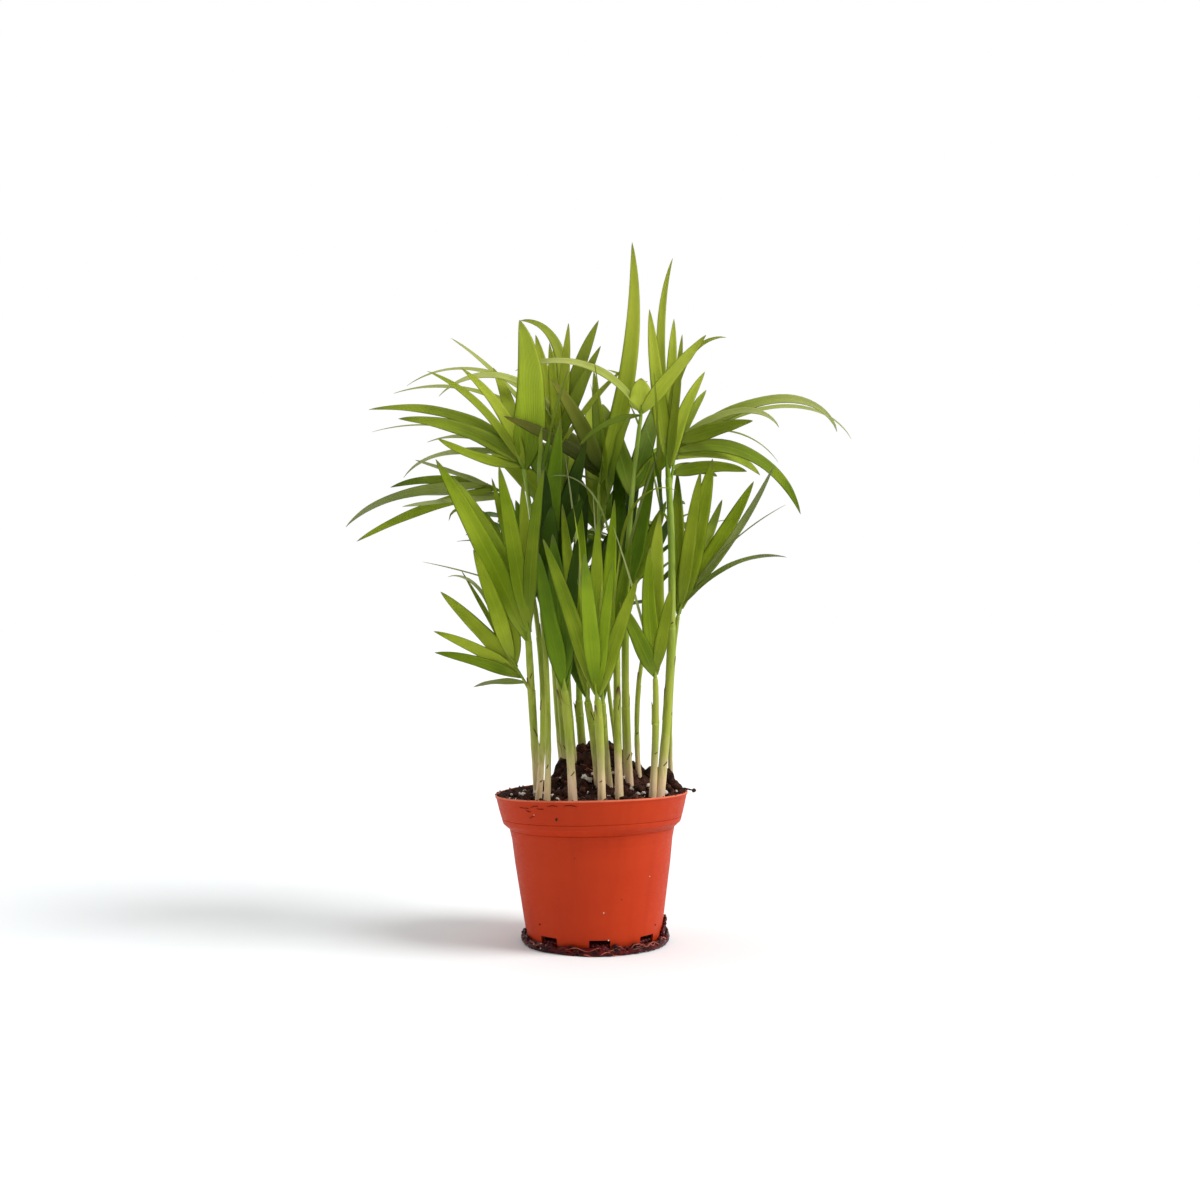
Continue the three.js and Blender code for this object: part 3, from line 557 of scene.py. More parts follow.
@dataclass(frozen=True)
class PotFinish:
    """Thin moulded plastic: an even colour with flow streaks, dust, scuffs and fine pits."""

    name: str
    base: Colour
    warm: Colour
    roughness: float
    scuffed: Colour = (214, 128, 96)
    dusty: Colour = (74, 40, 28)

    def make(self) -> bpy.types.Material:
        """Wires the finish: streaks round the wall, dust specks, scratches and a fine grain.

        Returns:
            The material.
        """
        s = Shader(self.name)
        cloud = s.noise(24.0, 3.0, 0.5, (1.0, 1.0, 1.6))
        streak = s.noise(60.0, 4.0, 0.6, (1.0, 1.0, 9.0))
        drip = s.noise(110.0, 3.0, 0.5, (1.0, 1.0, 0.06))
        scuff = s.noise(230.0, 5.0, 0.75, (1.0, 1.0, 3.0))
        skin = s.mix(s.spread(cloud, 0.2, 0.8, 0.2, 0.8), srgb(self.base), srgb(self.warm))
        skin = s.lay(skin, self.warm, streak, 0.45, 0.75, 0.0, 0.15)
        skin = s.stain(skin, (0.8, 0.72, 0.7), drip, 0.45, 0.7, 0.0, 0.3)
        skin = s.lay(skin, self.scuffed, scuff, 0.66, 0.78, 0.0, 0.4)
        skin = s.lay(skin, self.dusty, s.noise(520.0, 2.0, 0.5), 0.735, 0.775, 0.0, 0.7)
        s.bump(s.math("ADD", s.math("MULTIPLY", streak, 0.5), s.noise(1400.0, 2.0)), 0.00005, 0.6)
        rough = s.spread(scuff, 0.3, 0.75, self.roughness, self.roughness + 0.22)
        return s.dress(Base_Color=skin, Roughness=rough, Specular_IOR_Level=0.1)


# ---- How the plant grows -------------------------------------------------------------------

PATH_STEPS = 24  # the straight steps of a curve
TILT_AT_START, TILT_GAINED, MEAN_TILT = 0.5, 0.8, 0.9  # shares of a curve's tilt

# Stems and ribs: the samples along each, how deep a foot stands in the soil, and the radius of a
# rib at a stem's side, at its tip, and as a share of the stem that it ends.
STEM_STATIONS, RIB_STATIONS = 48, 12
FOOT_SUNK = 4.0
FLARE = (0.18, 14.0)  # extra radius at a stem's foot, and how fast it fades
RIB_SIDE, RIB_TIP, RIB_OF_STEM = 1.1, 0.45, 0.9
RIB_SUNK = 2.0  # how far a rib starts inside the top of its stem

# Leaves: the radius of a sample, the room round a stalk, the samples along a leaf, where they
# start, how far out they go, and the least share of a tilted leaf's length that is said to show.
LEAF_CLEAR, STALK_CLEAR = 1.7, 0.2
LEAF_STATIONS, FIRST_SHARE, WIDTH_SHARE = 14, 0.06, 0.8
LEAST_SHOWN = 0.78
OPEN_AT, FOOT_WIDTH = 0.36, 0.3  # where a leaf is fully open, and how open it starts
# The degrees that a leaf's tilt or turn is moved by, one after another, until the leaf is clear.
NUDGES = (0, 4, -4, 8, -8, 12, -12, 17, -17, 22, -22, 28, -28)


@dataclass(frozen=True)
class Bow:
    """A curve that leans from upright, bends on, and leaves its plane by tilt; also a leaf."""

    lean: float = 0.0  # degrees from upright at the start
    bend: float = 0.0  # degrees more at the end
    length: float = 0.0
    width: float = 0.0
    face: float = 0.0  # degrees that a leaf turns about its own way
    tilt: float = 0.0  # degrees out of the plane
    late: float = 1.5  # how late it bends
    turn: float = 0.0  # where the plane stands, in degrees about Z

    def ways(self, share: Array) -> Array:
        """The direction at each share of the length.

        The lean is lean + bend * share ^ late in the plane that turn turns about Z, and the way
        out of that plane is tilt * (0.5 + 0.8 * share).

        Args:
            share: The shares, n.

        Returns:
            Unit vectors, n by 3.
        """
        over = np.radians(self.lean + self.bend * share ** self.late)
        out = np.radians(self.tilt * (TILT_AT_START + TILT_GAINED * share))
        turn = math.radians(self.turn)
        flat = np.sin(over) * np.cos(out)
        x = flat * math.cos(turn) + np.sin(out) * math.sin(turn)
        y = flat * math.sin(turn) - np.sin(out) * math.cos(turn)
        return np.stack([x, y, np.cos(over) * np.cos(out)], -1)

    def changed(self, **values: float) -> "Bow":
        """The same curve with some values changed."""
        return Bow(**{**self.__dict__, **values})


def row_bow(row: Sequence[float], turn: float = 0.0) -> Bow:
    """The curve of a fan's row.

    Args:
        row: Share of the rib, lean, bend, length, width, face, tilt, how late it bends, turn.
        turn: The turn of a row that gives none.

    Returns:
        The curve.
    """
    names = ("lean", "bend", "length", "width", "face", "tilt", "late", "turn")
    return Bow(**{"turn": turn, **dict(zip(names, row[1:]))})


class Path:
    """A curve worked out by adding short straight steps along a bow's directions."""

    def __init__(self, start: Array, bow: Bow) -> None:
        """Walks along a bow.

        Args:
            start: Where it starts.
            bow: The directions that it takes.
        """
        evens = np.arange(PATH_STEPS + 1) / PATH_STEPS
        steps = bow.ways(evens[:-1] + 0.5 / PATH_STEPS) * (bow.length / PATH_STEPS)
        self.ways = bow.ways(evens)
        self.points = np.concatenate([start[None], start + steps.cumsum(0)])

    def along(self, share: Array) -> tuple[Array, Array]:
        """The curve at shares of its length.

        Args:
            share: The shares, n.

        Returns:
            The points and the unit directions, each n by 3.
        """
        place = np.minimum(share, 1.0) * PATH_STEPS
        i = np.minimum(place.astype(int), PATH_STEPS - 1)
        rest = (place - i)[:, None]
        point = lerp(self.points[i], self.points[i + 1], rest)
        return point, unit(lerp(self.ways[i], self.ways[i + 1], rest))


# The pot stands a little out of true. Its lip rises per millimetre to the right and the front and
# is sprung up at front and back; its middle stands to the right at the foot and leans left.
POT_BASE, RIM_Z, LIP_RADIUS = 4.0, 89.5, 59.5
LIP_RIGHT, LIP_FRONT, LIP_SPRUNG = 0.02, 0.016, 0.6
FOOT_SHIFT, LEAN_LEFT = 1.1, 0.018
HEAPS = ((2, 6, 6, 34), (4, 22, 24, 27), (44, 8, 8, 14))  # of the soil: x, y, height, spread


def lip_rise(x: Array, y: Array) -> Array:
    """How far the bent lip stands above its level at a place."""
    return LIP_RIGHT * x - LIP_FRONT * y + LIP_SPRUNG * (y**2 - x**2) / LIP_RADIUS**2


def axis_shift(z: Array) -> Array:
    """How far the middle of the pot stands to the right at a height."""
    return FOOT_SHIFT - LEAN_LEFT * (z - POT_BASE)


def bend_pot(points: Array) -> Array:
    """Bends a true pot to the real one.

    Args:
        points: Points of the true pot, in any shape by 3.

    Returns:
        Where they stand in the real one.
    """
    x, y, z = points[..., :1], points[..., 1:2], points[..., 2:]
    up = lip_rise(x, y) * (z - POT_BASE) / (RIM_Z - POT_BASE)
    return np.concatenate([x + axis_shift(z), y, z + up], -1)


def soil_height(x: Array, y: Array) -> Array:
    """The soil's height: a plane just under the lip and three heaps, each h exp(-(d/spread)^2.6).

    Args:
        x: How far to the right.
        y: How far to the back.

    Returns:
        The height at each place.
    """
    height = RIM_Z + lip_rise(x, y)
    for at_x, at_y, rise, spread in HEAPS:
        away = ((x - at_x) ** 2 + (y - at_y) ** 2) / spread**2
        height = height + rise * np.exp(-(away**1.3))
    return height


@dataclass(frozen=True)
class Stem:
    """A stem on the parabola through its foot, a point half way and its top."""

    name: str
    foot: tuple[float, float]
    half: tuple[float, float, float]
    top: tuple[float, float, float]
    radii: tuple[float, float]

    def at(self, t: Array) -> Array:
        """Gives the stem's middle line, foot (1-t)(1-2t) + half 4t(1-t) + top t(2t-1).

        Args:
            t: The shares of the stem.

        Returns:
            The points, n by 3.
        """
        x, y = self.foot
        ends = np.array([(x, y, soil_height(x, y) - FOOT_SUNK), self.half, self.top])
        return np.stack([(1 - t) * (1 - 2 * t), 4 * t * (1 - t), t * (2 * t - 1)], -1) @ ends

    def along(self, t: Array) -> tuple[Array, Array]:
        """The points and unit directions at shares t, each n by 3."""
        return self.at(t), unit(self.at(t + 0.01) - self.at(t - 0.01))

    def radius(self, t: Array) -> Array:
        """The radius at shares t: an even taper, flared at the foot."""
        return lerp(self.radii[0], self.radii[1], t) * (1 + FLARE[0] * np.exp(-t * FLARE[1]))

    def share_at(self, z: float) -> float:
        """The share at a height, by halving.

        Args:
            z: The height.

        Returns:
            The share of the stem.
        """
        low, high = 0.0, 1.0
        for _ in range(30):
            middle = (low + high) / 2
            low, high = (middle, high) if self.at(np.array([middle]))[0, 2] < z else (low, middle)
        return low


@dataclass(frozen=True)
class Fan:
    """A frond whose leaves are given one by one.

    A row is: share of the rib, lean, bend, length, width, face, tilt, how late it bends, turn.
    """

    name: str
    stem: str
    rib: Bow
    tints: str
    rows: Rows
    z: Optional[float] = None
    turn: float = 0.0
    nudge = "tilt"

    def bow(self) -> Bow:
        """The rib's curve."""
        return self.rib.changed(turn=self.turn)

    def leaves(self) -> list[tuple[float, Bow]]:
        """Each leaf's share of the rib and its curve."""
        return [(row[0], row_bow(row, self.turn)) for row in self.rows]


@dataclass(frozen=True)
class Feather:
    """A frond of uneven pairs of leaflets.

    From the first pair to the last, the place on the rib, the rise over it and the sideways spread
    change evenly. A leaflet is longest at one share of the way, and shorter away from it.
    """

    name: str
    stem: str
    rib: Bow
    tints: str
    leaf: tuple[float, float]
    pairs: int
    seed: int
    z: Optional[float] = None
    nudge = "turn"
    places, rises, spreads = (0.3, 0.98), (14, 4), (74, 16)
    longest_at, shorter = 0.4, 0.3
    bend, face = 46, 14

    def bow(self) -> Bow:
        """The rib's curve."""
        return self.rib

    def draws(self) -> Iterable[float]:
        """An endless row of repeatable numbers from 0 to 1.

        Returns:
            The numbers, one after another.
        """
        mask = 0xFFFFFFFF
        state = self.seed * 2654435761
        while True:
            state = (state + 0x6D2B79F5) & mask
            mixed = ((state ^ (state >> 15)) * (state | 1)) & mask
            mixed ^= (mixed + (mixed ^ (mixed >> 7)) * (mixed | 61)) & mask
            yield (mixed ^ (mixed >> 14)) / 4294967296

    def leaves(self) -> list[tuple[float, Bow]]:
        """Works out the leaflets.

        Returns:
            Each leaflet's share of the rib and its curve.
        """
        draws = self.draws()

        def uneven(by: float) -> float:
            """A number from minus half of by to half of by."""
            return (next(draws) - 0.5) * by

        rows = []
        for i in range(self.pairs):
            share = i / (self.pairs - 1)
            at = lerp(*self.places, share)
            lean = self.rib.lean + self.rib.bend * at**1.5 + lerp(*self.rises, share)
            short = 1 - self.shorter * abs(share - self.longest_at)
            for side in (-1, 1):
                spread = lerp(*self.spreads, share) + uneven(14)
                rows.append((at, Bow(
                    turn=self.rib.turn + side * spread,
                    lean=lean + uneven(16),
                    bend=self.bend + uneven(30),
                    length=self.leaf[0] * short * (1 + uneven(0.2)),
                    width=self.leaf[1] * (1 + uneven(0.2)),
                    face=side * (self.face + uneven(30)),
                )))
        return rows


def half_width(share: Array, width: float) -> Array:
    """Half a leaf's width: it opens by a sine, and closes by (1 - share^5)^0.75.

    Args:
        share: The shares of the leaf's length.
        width: Its full width.

    Returns:
        Half of its width at each share.
    """
    opened = np.sin(np.minimum(share / OPEN_AT, 1) * math.pi / 2)
    return width / 2 * lerp(FOOT_WIDTH, 1.0, opened) * np.maximum(1 - share**5, 0) ** 0.75


def across_of(bow: Bow, ways: Array) -> Array:
    """The direction across a leaf: level, square to the way, then turned by its face.

    Args:
        bow: The leaf's curve.
        ways: Its unit directions, n by 3.

    Returns:
        Unit vectors, n by 3.
    """
    side = -1.0 if bow.lean + bow.bend / 2 < 0 else 1.0
    turn = math.radians(bow.turn)
    level = np.array([-math.sin(turn), math.cos(turn), 0.0])
    level = unit(level - ways * (ways @ level)[:, None]) * side
    return turned(level, ways, math.radians(side * bow.face))


class Thicket:
    """All that stands already, as round samples with a box round each owner's."""

    def __init__(self) -> None:
        """Starts empty."""
        self.standing: list[tuple[str, Array, Array, Array]] = []

    @staticmethod
    def box(samples: Array) -> tuple[Array, Array]:
        """Puts a box round samples, with some room.

        Args:
            samples: The samples, n by 4: each a place and a radius.

        Returns:
            The lowest and the highest corner.
        """
        room = LEAF_CLEAR * 2
        return samples[:, :3].min(0) - room, samples[:, :3].max(0) + room

    def stand(self, owner: str, samples: Array) -> None:
        """Adds an owner's samples."""
        self.standing.append((owner, samples, *self.box(samples)))

    def stalk(self, owner: str, along: Callable, radius: Callable, count: int) -> None:
        """Adds samples along a stalk.

        Args:
            owner: The stem or frond that it belongs to.
            along: Gives its points and directions at shares.
            radius: Gives its radius at shares.
            count: How many steps it is taken in.
        """
        t = np.arange(count + 1) / count
        self.stand(owner, np.column_stack([along(t)[0], radius(t) + STALK_CLEAR]))

    def clear(self, samples: Array, owners: tuple[str, str]) -> bool:
        """Tells whether samples keep clear of all that stands.

        Args:
            samples: The samples, n by 4.
            owners: The frond and the stem that they may touch.

        Returns:
            True where no sample is nearer to another owner's than their two radii.
        """
        low, high = self.box(samples)
        for owner, others, least, most in self.standing:
            if owner in owners or (least > high).any() or (most < low).any():
                continue
            away = ((samples[:, None, :3] - others[None, :, :3]) ** 2).sum(-1)
            if (away < (samples[:, None, 3] + others[None, :, 3]) ** 2).any():
                return False
        return True


@dataclass
class Rib:
    """The rib of a frond, from its stem's top or from a height on it."""

    path: Path
    thick: float

    @classmethod
    def of(cls, frond: "Fan | Feather", stem: Stem) -> "Rib":
        """Grows the rib of a frond.

        Args:
            frond: The frond.
            stem: Its stem.

        Returns:
            The rib.
        """
        share = stem.share_at(frond.z) if frond.z else 1.0
        point, way = stem.along(np.array([share]))
        start = point[0] - way[0] * (0.0 if frond.z else RIB_SUNK)
        thick = RIB_SIDE if frond.z else float(stem.radius(np.array(1.0))) * RIB_OF_STEM
        return cls(Path(start, frond.bow()), thick)

    def radius(self, t: Array) -> Array:
        """The radius at shares t."""
        return lerp(self.thick, RIB_TIP, t)


@dataclass
class Leaf:
    """A leaf that has found its place."""

    bow: Bow
    path: Path
    tint: Tint

    @classmethod
    def grow(cls, rib: Rib, at: float, bow: Bow, tint: Tint) -> "Leaf":
        """Grows a leaf; a tilted one is longer, as it shows shorter.

        Args:
            rib: The rib that it leaves.
            at: The share of the rib at which it does.
            bow: Its curve.
            tint: Its green.

        Returns:
            The leaf.
        """
        shown = max(math.cos(math.radians(MEAN_TILT * bow.tilt)), LEAST_SHOWN)
        longer = bow.changed(length=bow.length / shown)
        return cls(longer, Path(rib.path.along(np.array([at]))[0][0], longer), tint)

    def samples(self) -> Array:
        """Samples the leaf at both edges and its middle.

        Returns:
            The samples, n by 4: each a place and a radius.
        """
        s = lerp(FIRST_SHARE, 1.0, (np.arange(LEAF_STATIONS) + 0.5) / LEAF_STATIONS)
        point, way = self.path.along(s)
        reach = across_of(self.bow, way) * (WIDTH_SHARE * half_width(s, self.bow.width))[:, None]
        places = np.concatenate([point - reach, point, point + reach])
        return np.column_stack([places, np.full(len(places), LEAF_CLEAR)])


@dataclass
class Growth:
    """The whole plant's curves, in the order in which they find their places."""

    stems: dict[str, Stem]
    ribs: dict[str, Rib]
    leaves: dict[str, list[Leaf]]

    @classmethod
    def grow(cls, stems: Sequence[Stem], fronds: Sequence["Fan | Feather"]) -> "Growth":
        """Stands the stems, then the ribs, then each leaf where it is clear.

        Args:
            stems: The stems.
            fronds: The fronds, in the order in which their leaves find places.

        Returns:
            The plant.
        """
        thicket = Thicket()
        growth = cls({stem.name: stem for stem in stems}, {}, {})
        for stem in stems:
            thicket.stalk(stem.name, stem.along, stem.radius, STEM_STATIONS)
        for frond in fronds:
            rib = Rib.of(frond, growth.stems[frond.stem])
            growth.ribs[frond.name] = rib
            thicket.stalk(frond.name, rib.path.along, rib.radius, RIB_STATIONS)
        for frond in fronds:
            growth.leaves[frond.name] = []
            for (at, bow), letter in zip(frond.leaves(), frond.tints):
                leaf = growth.find_place(thicket, frond, at, bow, Tint[letter])
                if leaf:
                    thicket.stand(frond.name, leaf.samples())
                    growth.leaves[frond.name].append(leaf)
        return growth

    def find_place(self, thicket: Thicket, frond: "Fan | Feather", at: float, bow: Bow,
                   tint: Tint) -> Optional[Leaf]:
        """Nudges a leaf until it is clear.

        Args:
            thicket: All that stands already.
            frond: The leaf's frond.
            at: The share of the rib that it leaves.
            bow: Its curve.
            tint: Its green.

        Returns:
            The leaf, or none where every nudge touches something.
        """
        for nudge in NUDGES:
            moved = bow.changed(**{frond.nudge: getattr(bow, frond.nudge) + nudge})
            leaf = Leaf.grow(self.ribs[frond.name], at, moved, tint)
            if thicket.clear(leaf.samples(), (frond.name, frond.stem)):
                return leaf
        return None


# ---- Stems and fronds ----------------------------------------------------------------------


def stalk_rings(points: Array, ways: Array, radii: Array, sides: int, spin: float = 0.0) -> Array:
    """Rings round a path: each point plus r (cos a right + sin a front), turning about the way.

    Args:
        points: The path, n by 3.
        ways: Its unit directions, n by 3.
        radii: The radius at each point, or at each point and side.
        sides: The sides of a ring.
        spin: Where the ring starts, in radians.

    Returns:
        Points, n by sides by 3.
    """
    hint = np.array([1.0, 0.0, 0.0]) if abs(ways[:, 0]).mean() < 0.8 else np.array([0.0, 0.0, 1.0])
    front = unit(np.cross(ways, hint))
    right = np.cross(front, ways)
    angle = np.arange(sides) * FULL_TURN / sides + spin
    radii = radii[:, None] if radii.ndim == 1 else radii
    round_ = right[:, None] * np.cos(angle)[:, None] + front[:, None] * np.sin(angle)[:, None]
    return points[:, None] + round_[:, ::-1] * radii[..., None]


@dataclass
class Canes:
    """The stems, each with its old leaf sheaths, and some with dry marks and husks."""

    growth: Growth
    sheaths: dict[str, tuple[float, ...]]
    marks: tuple[tuple[str, float, float, float, float], ...]
    husks: tuple[tuple[str, float, float, float, float], ...]
    sides: int = 16
    rings: int = 110
    sheath_length: float = 34.0
    sheath_rings: int = 14
    sheath_sides: int = 20
    sheath_wall: float = 0.2
    flap: float = 8.5  # how high the point of a mouth stands over its lowest part
    flap_lowered: float = 2.0  # how far that part lies under the mouth's height
    closing: tuple[float, float] = (0.985, 30.0)  # the share from which a tip closes, and how fast
    mark_slope: float = 1.3  # this and the next are shares of what a mark's row gives
    mark_span: float = 0.6
    mark_radius: float = 0.32
    husk_radius: float = 1.5

    def cane(self, shell: Shell, stem: Stem) -> None:
        """Adds a stem, whose radius waves a little.

        Args:
            shell: The mesh under work.
            stem: The stem.
        """
        t = np.linspace(0, 1, self.rings)
        point, way = stem.along(t)
        ripple = 0.05 * waves(point[:, 2:], 26.0, 5) + 0.02 * waves(point[:, 2:], 9.0, 6)
        start, speed = self.closing
        radius = stem.radius(t) + ripple - np.where(t > start, (t - start) * speed, 0)
        shell.tube(stalk_rings(point, way, radius, self.sides), 0)

    def sheath(self, shell: Shell, stem: Stem, mouth: float, turn: float) -> None:
        """Adds a sleeve round a stem: it widens upwards and its mouth rises to a point on one side.

        Args:
            shell: The mesh under work.
            stem: The stem.
            mouth: The height of the mouth.
            turn: Where the point stands, in radians.
        """
        t0, t1 = stem.share_at(mouth - self.sheath_length), stem.share_at(mouth)
        v = np.linspace(0, 1, self.sheath_rings)
        t = np.clip(lerp(t0, t1, v), 0, 1)
        point, way = stem.along(t)
        sides = self.sheath_sides
        angle = np.arange(sides) * FULL_TURN / sides
        peak = (0.5 - 0.5 * np.cos(angle)) ** 4 * self.flap - self.flap_lowered
        grown = 0.28 * np.minimum(v / 0.3, 1) - 0.22 + 0.22 * v**2
        radius = (stem.radius(t) + grown)[:, None] + 0 * angle
        outer = stalk_rings(point, way, radius, sides, turn)
        lift = way[:, None] * (peak[None] * v[:, None] ** 3)[..., None]
        middle = point[:, None]
        inner = middle + (outer - middle) * ((radius - self.sheath_wall) / radius)[..., None]
        # The wall goes up outside, over the mouth, and down inside to half way.
        half_way = self.sheath_rings // 2 - 1
        wall = np.concatenate([outer + lift, (inner + lift)[:half_way:-1]])
        u = np.broadcast_to(np.linspace(0, 1, sides + 1), (len(wall), sides + 1))
        share = np.concatenate([v, v[:half_way:-1]])[:, None] + np.zeros(sides + 1)
        shell.tube(wall, 1, np.stack([u, share], -1))

    def mark(self, shell: Shell, stem: Stem, z: float, turn: float, span: float, slope: float) -> None:
        """Adds a dry brown line round part of a stem.

        Args:
            shell: The mesh under work.
            stem: The stem.
            z: The height of its middle.
            turn: Where its middle stands, in degrees about Z from the right.
            span: How far it goes round by its row, in degrees.
            slope: How much higher its end stands than its start by its row.
        """
        t = np.linspace(-0.5, 0.5, 11)
        share = np.array([stem.share_at(z + self.mark_slope * slope * v) for v in t])
        point, _ = stem.along(share)
        angle = np.radians(turn + self.mark_span * span * t)
        reach = stem.radius(share) + 0.1
        strand(shell, point + around(reach, angle, 0.0), self.mark_radius, 2, 5)

    def husk(self, shell: Shell, stem: Stem, z: float, turn: float, size: float, out: float) -> None:
        """Adds the dry end of an old sheath, which stands away from a stem: a tapering strip.

        Args:
            shell: The mesh under work.
            stem: The stem.
            z: The height at which it leaves the stem.
            turn: Where it stands, in degrees about Z from the right.
            size: Its length.
            out: How far its tip stands away from the stem.
        """
        v = np.linspace(0, 1, 12)
        point, _ = stem.along(np.array([stem.share_at(z + size * share) for share in v]))
        path = point + around(stem.radius(0.2) * 0.5 + out * v**1.8, math.radians(turn), 0.0)
        rings = stalk_rings(path, unit(np.gradient(path, axis=0)), self.husk_radius * (1.02 - v**1.6), 8)
        seam = np.zeros(9)
        uv = np.stack(np.broadcast_arrays(seam + 0.5, v[:, None] * 1.02), -1)
        shell.tube(rings, 1, uv)

    def build(self) -> None:
        """Builds each stem as a piece that stands for its node."""
        greens = (222, 190, 160), (158, 166, 62), (150, 170, 70)
        slots = [CaneFinish("cane", *greens).make(), CaneFinish("sheath", *greens, flap=True).make(),
                 Earth.DRY_MARK.make()]
        random = np.random.default_rng(11)
        for stem in self.growth.stems.values():
            shell = Shell()
            self.cane(shell, stem)
            for mouth in self.sheaths[stem.name]:
                self.sheath(shell, stem, mouth, random.uniform(0, FULL_TURN))
            for name, *place in self.marks:
                if name == stem.name:
                    self.mark(shell, stem, *place)
            for name, *place in self.husks:
                if name == stem.name:
                    self.husk(shell, stem, *place)
            seat(shell.piece(stem.name.replace("stem", "cane"), slots), [stem.name])


@dataclass
class Crown:
    """The fronds, each a piece of its rib and its leaves."""

    growth: Growth
    slivers: tuple[tuple[str, str, tuple[float, ...]], ...]
    stations: int = 26
    folds: int = 9
    crowded: float = 1.25  # how much closer the stations stand towards the tip
    end: float = 0.9985  # the share at which a leaf ends, not quite in a point
    thickness: float = 0.36
    tip_thickness: float = 0.45  # this and the next are shares of the thickness
    edge_thinned: float = 0.75
    taper: float = 0.3  # how much narrower its end is than the solid leaf's
    joined: float = 0.3  # how much wider it is where it joins the rib
    joined_at: float = 0.12
    roll: float = 0.12  # radians
    rolls: tuple[float, float] = (0.5, 1.1)  # the fewest and the most along a leaf
    ripples: tuple[float, float] = (2.0, 3.2)  # the same, of its edges
    crease: float = 0.14  # this and the two below are shares of half the width
    pleat: float = 0.022
    ripple: float = 0.07
    midrib: float = 0.22  # millimetres

    def blade(self, shell: Shell, leaf: Leaf, random: np.random.Generator) -> None:
        """Adds a leaf: a closed blade, creased along its midrib and pleated along its veins.

        Across the leaf, u goes from -1 to 1. The upper side lies below the edges by
        crease (1 - |u|)^1.2, waves by pleat cos(3 pi u), and its edges ripple along the length.
        The lower side lies below it by a thickness that thins towards the edges and the tip, and
        by the midrib. The blade is wider than the solid leaf near its root and narrower at its tip.

        Args:
            shell: The mesh under work.
            leaf: The leaf.
            random: The source of its rolls, ripples and tone.
        """
        bow = leaf.bow
        s = 1 - (1 - np.linspace(0, 1, self.stations)) ** self.crowded
        s[-1] = self.end
        point, way = leaf.path.along(s)
        across = across_of(bow, way)
        roll = self.roll * np.sin(FULL_TURN * (s * random.uniform(*self.rolls) + random.uniform()))
        across = turned(across, way, roll * s)
        over = np.cross(way, across)
        root = s / self.joined_at * np.exp(1 - s / self.joined_at)
        form = (1 + self.joined * root) * (1 - self.taper * s**3)
        half = (half_width(s, bow.width) * form)[:, None]
        u = np.linspace(1, -1, self.folds)
        turns = s[:, None] * random.uniform(*self.ripples) + random.uniform()
        ripple = self.ripple * np.sin(FULL_TURN * turns)
        folds = self.pleat * np.cos(3 * math.pi * u) - self.crease * (1 - abs(u)) ** 1.2
        upper = (folds + ripple * u**2 * np.sign(u)) * half
        thin = self.thickness * lerp(1.0, self.tip_thickness, s)[:, None] * (1 - self.edge_thinned * u**4)
        rib = self.midrib * np.exp(-((u / 0.2) ** 2)) * (1 - s)[:, None]
        lower = (upper - thin - rib)[:, -2:0:-1]
        side = np.concatenate([u, u[-2:0:-1]])
        flat = point[:, None] + across[:, None] * (half * side)[..., None]
        rings = flat + over[:, None] * np.concatenate([upper, lower], 1)[..., None]
        u_map = (np.append(side, side[0]) + 1) / 2
        uv = np.stack(np.broadcast_arrays(u_map[None], s[:, None]), -1)
        shell.tube(rings, leaf.tint.slot, uv, random.uniform())

    def rib(self, shell: Shell, rib: Rib) -> None:
        """Adds a rib, a round stalk that tapers to its tip.

        Args:
            shell: The mesh under work.
            rib: The rib.
        """
        t = np.linspace(0, 1, 30)
        point, way = rib.path.along(t)
        shell.tube(stalk_rings(point, way, rib.radius(t), 10), len(Tint))

    def build(self) -> None:
        """Builds each frond as a piece that stands for its node."""
        slots = [tint.value.make() for tint in Tint]
        slots.append(CaneFinish("rib", (150, 156, 72), (140, 156, 54), (128, 150, 42)).make())
        random = np.random.default_rng(23)
        for name, rib in self.growth.ribs.items():
            shell = Shell()
            self.rib(shell, rib)
            slivers = [Leaf.grow(rib, row[0], row_bow(row), Tint[letter])
                       for frond, letter, row in self.slivers if frond == name]
            for leaf in self.growth.leaves[name] + slivers:
                self.blade(shell, leaf, random)
            seat(shell.piece(f"{name}_leaves", slots), [name])


# ---- Pot, soil and roots -------------------------------------------------------------------

UP = np.array([0.0, 0.0, 1.0])
AT_AXIS = 0.01  # the radius at which a turned profile starts and ends


def rounded(profile: Sequence[tuple[float, float]], reach: float, steps: int = 4) -> Array:
    """Rounds a profile's corners: each becomes a quadratic curve, reach long on either side.

    Args:
        profile: Radius and height of each corner.
        reach: How far from the corner a curve starts, at most 0.4 of the side.
        steps: The steps of a curve.

    Returns:
        The rounded profile, n by 2.
    """
    corners = np.array(profile, float)
    before, here, after = corners[:-2], corners[1:-1], corners[2:]
    t = np.linspace(0, 1, steps + 1)[:, None, None]
    parts = []
    for other in (before, after):
        size = np.linalg.norm(other - here, axis=1, keepdims=True)
        parts.append(here + (other - here) * np.minimum(reach / size, 0.4))
    curve = (1 - t) ** 2 * parts[0] + 2 * t * (1 - t) * here + t**2 * parts[1]
    return np.concatenate([corners[:1], curve.transpose(1, 0, 2).reshape(-1, 2), corners[-1:]])


def lathe(profile: Array, sides: int) -> Array:
    """Turns a profile about Z.

    Args:
        profile: Radius and height of each point, n by 2.
        sides: The sides of the turned body.

    Returns:
        The rings, n by sides by 3.
    """
    return around(profile[:, :1], np.arange(sides) * FULL_TURN / sides, profile[:, 1:])


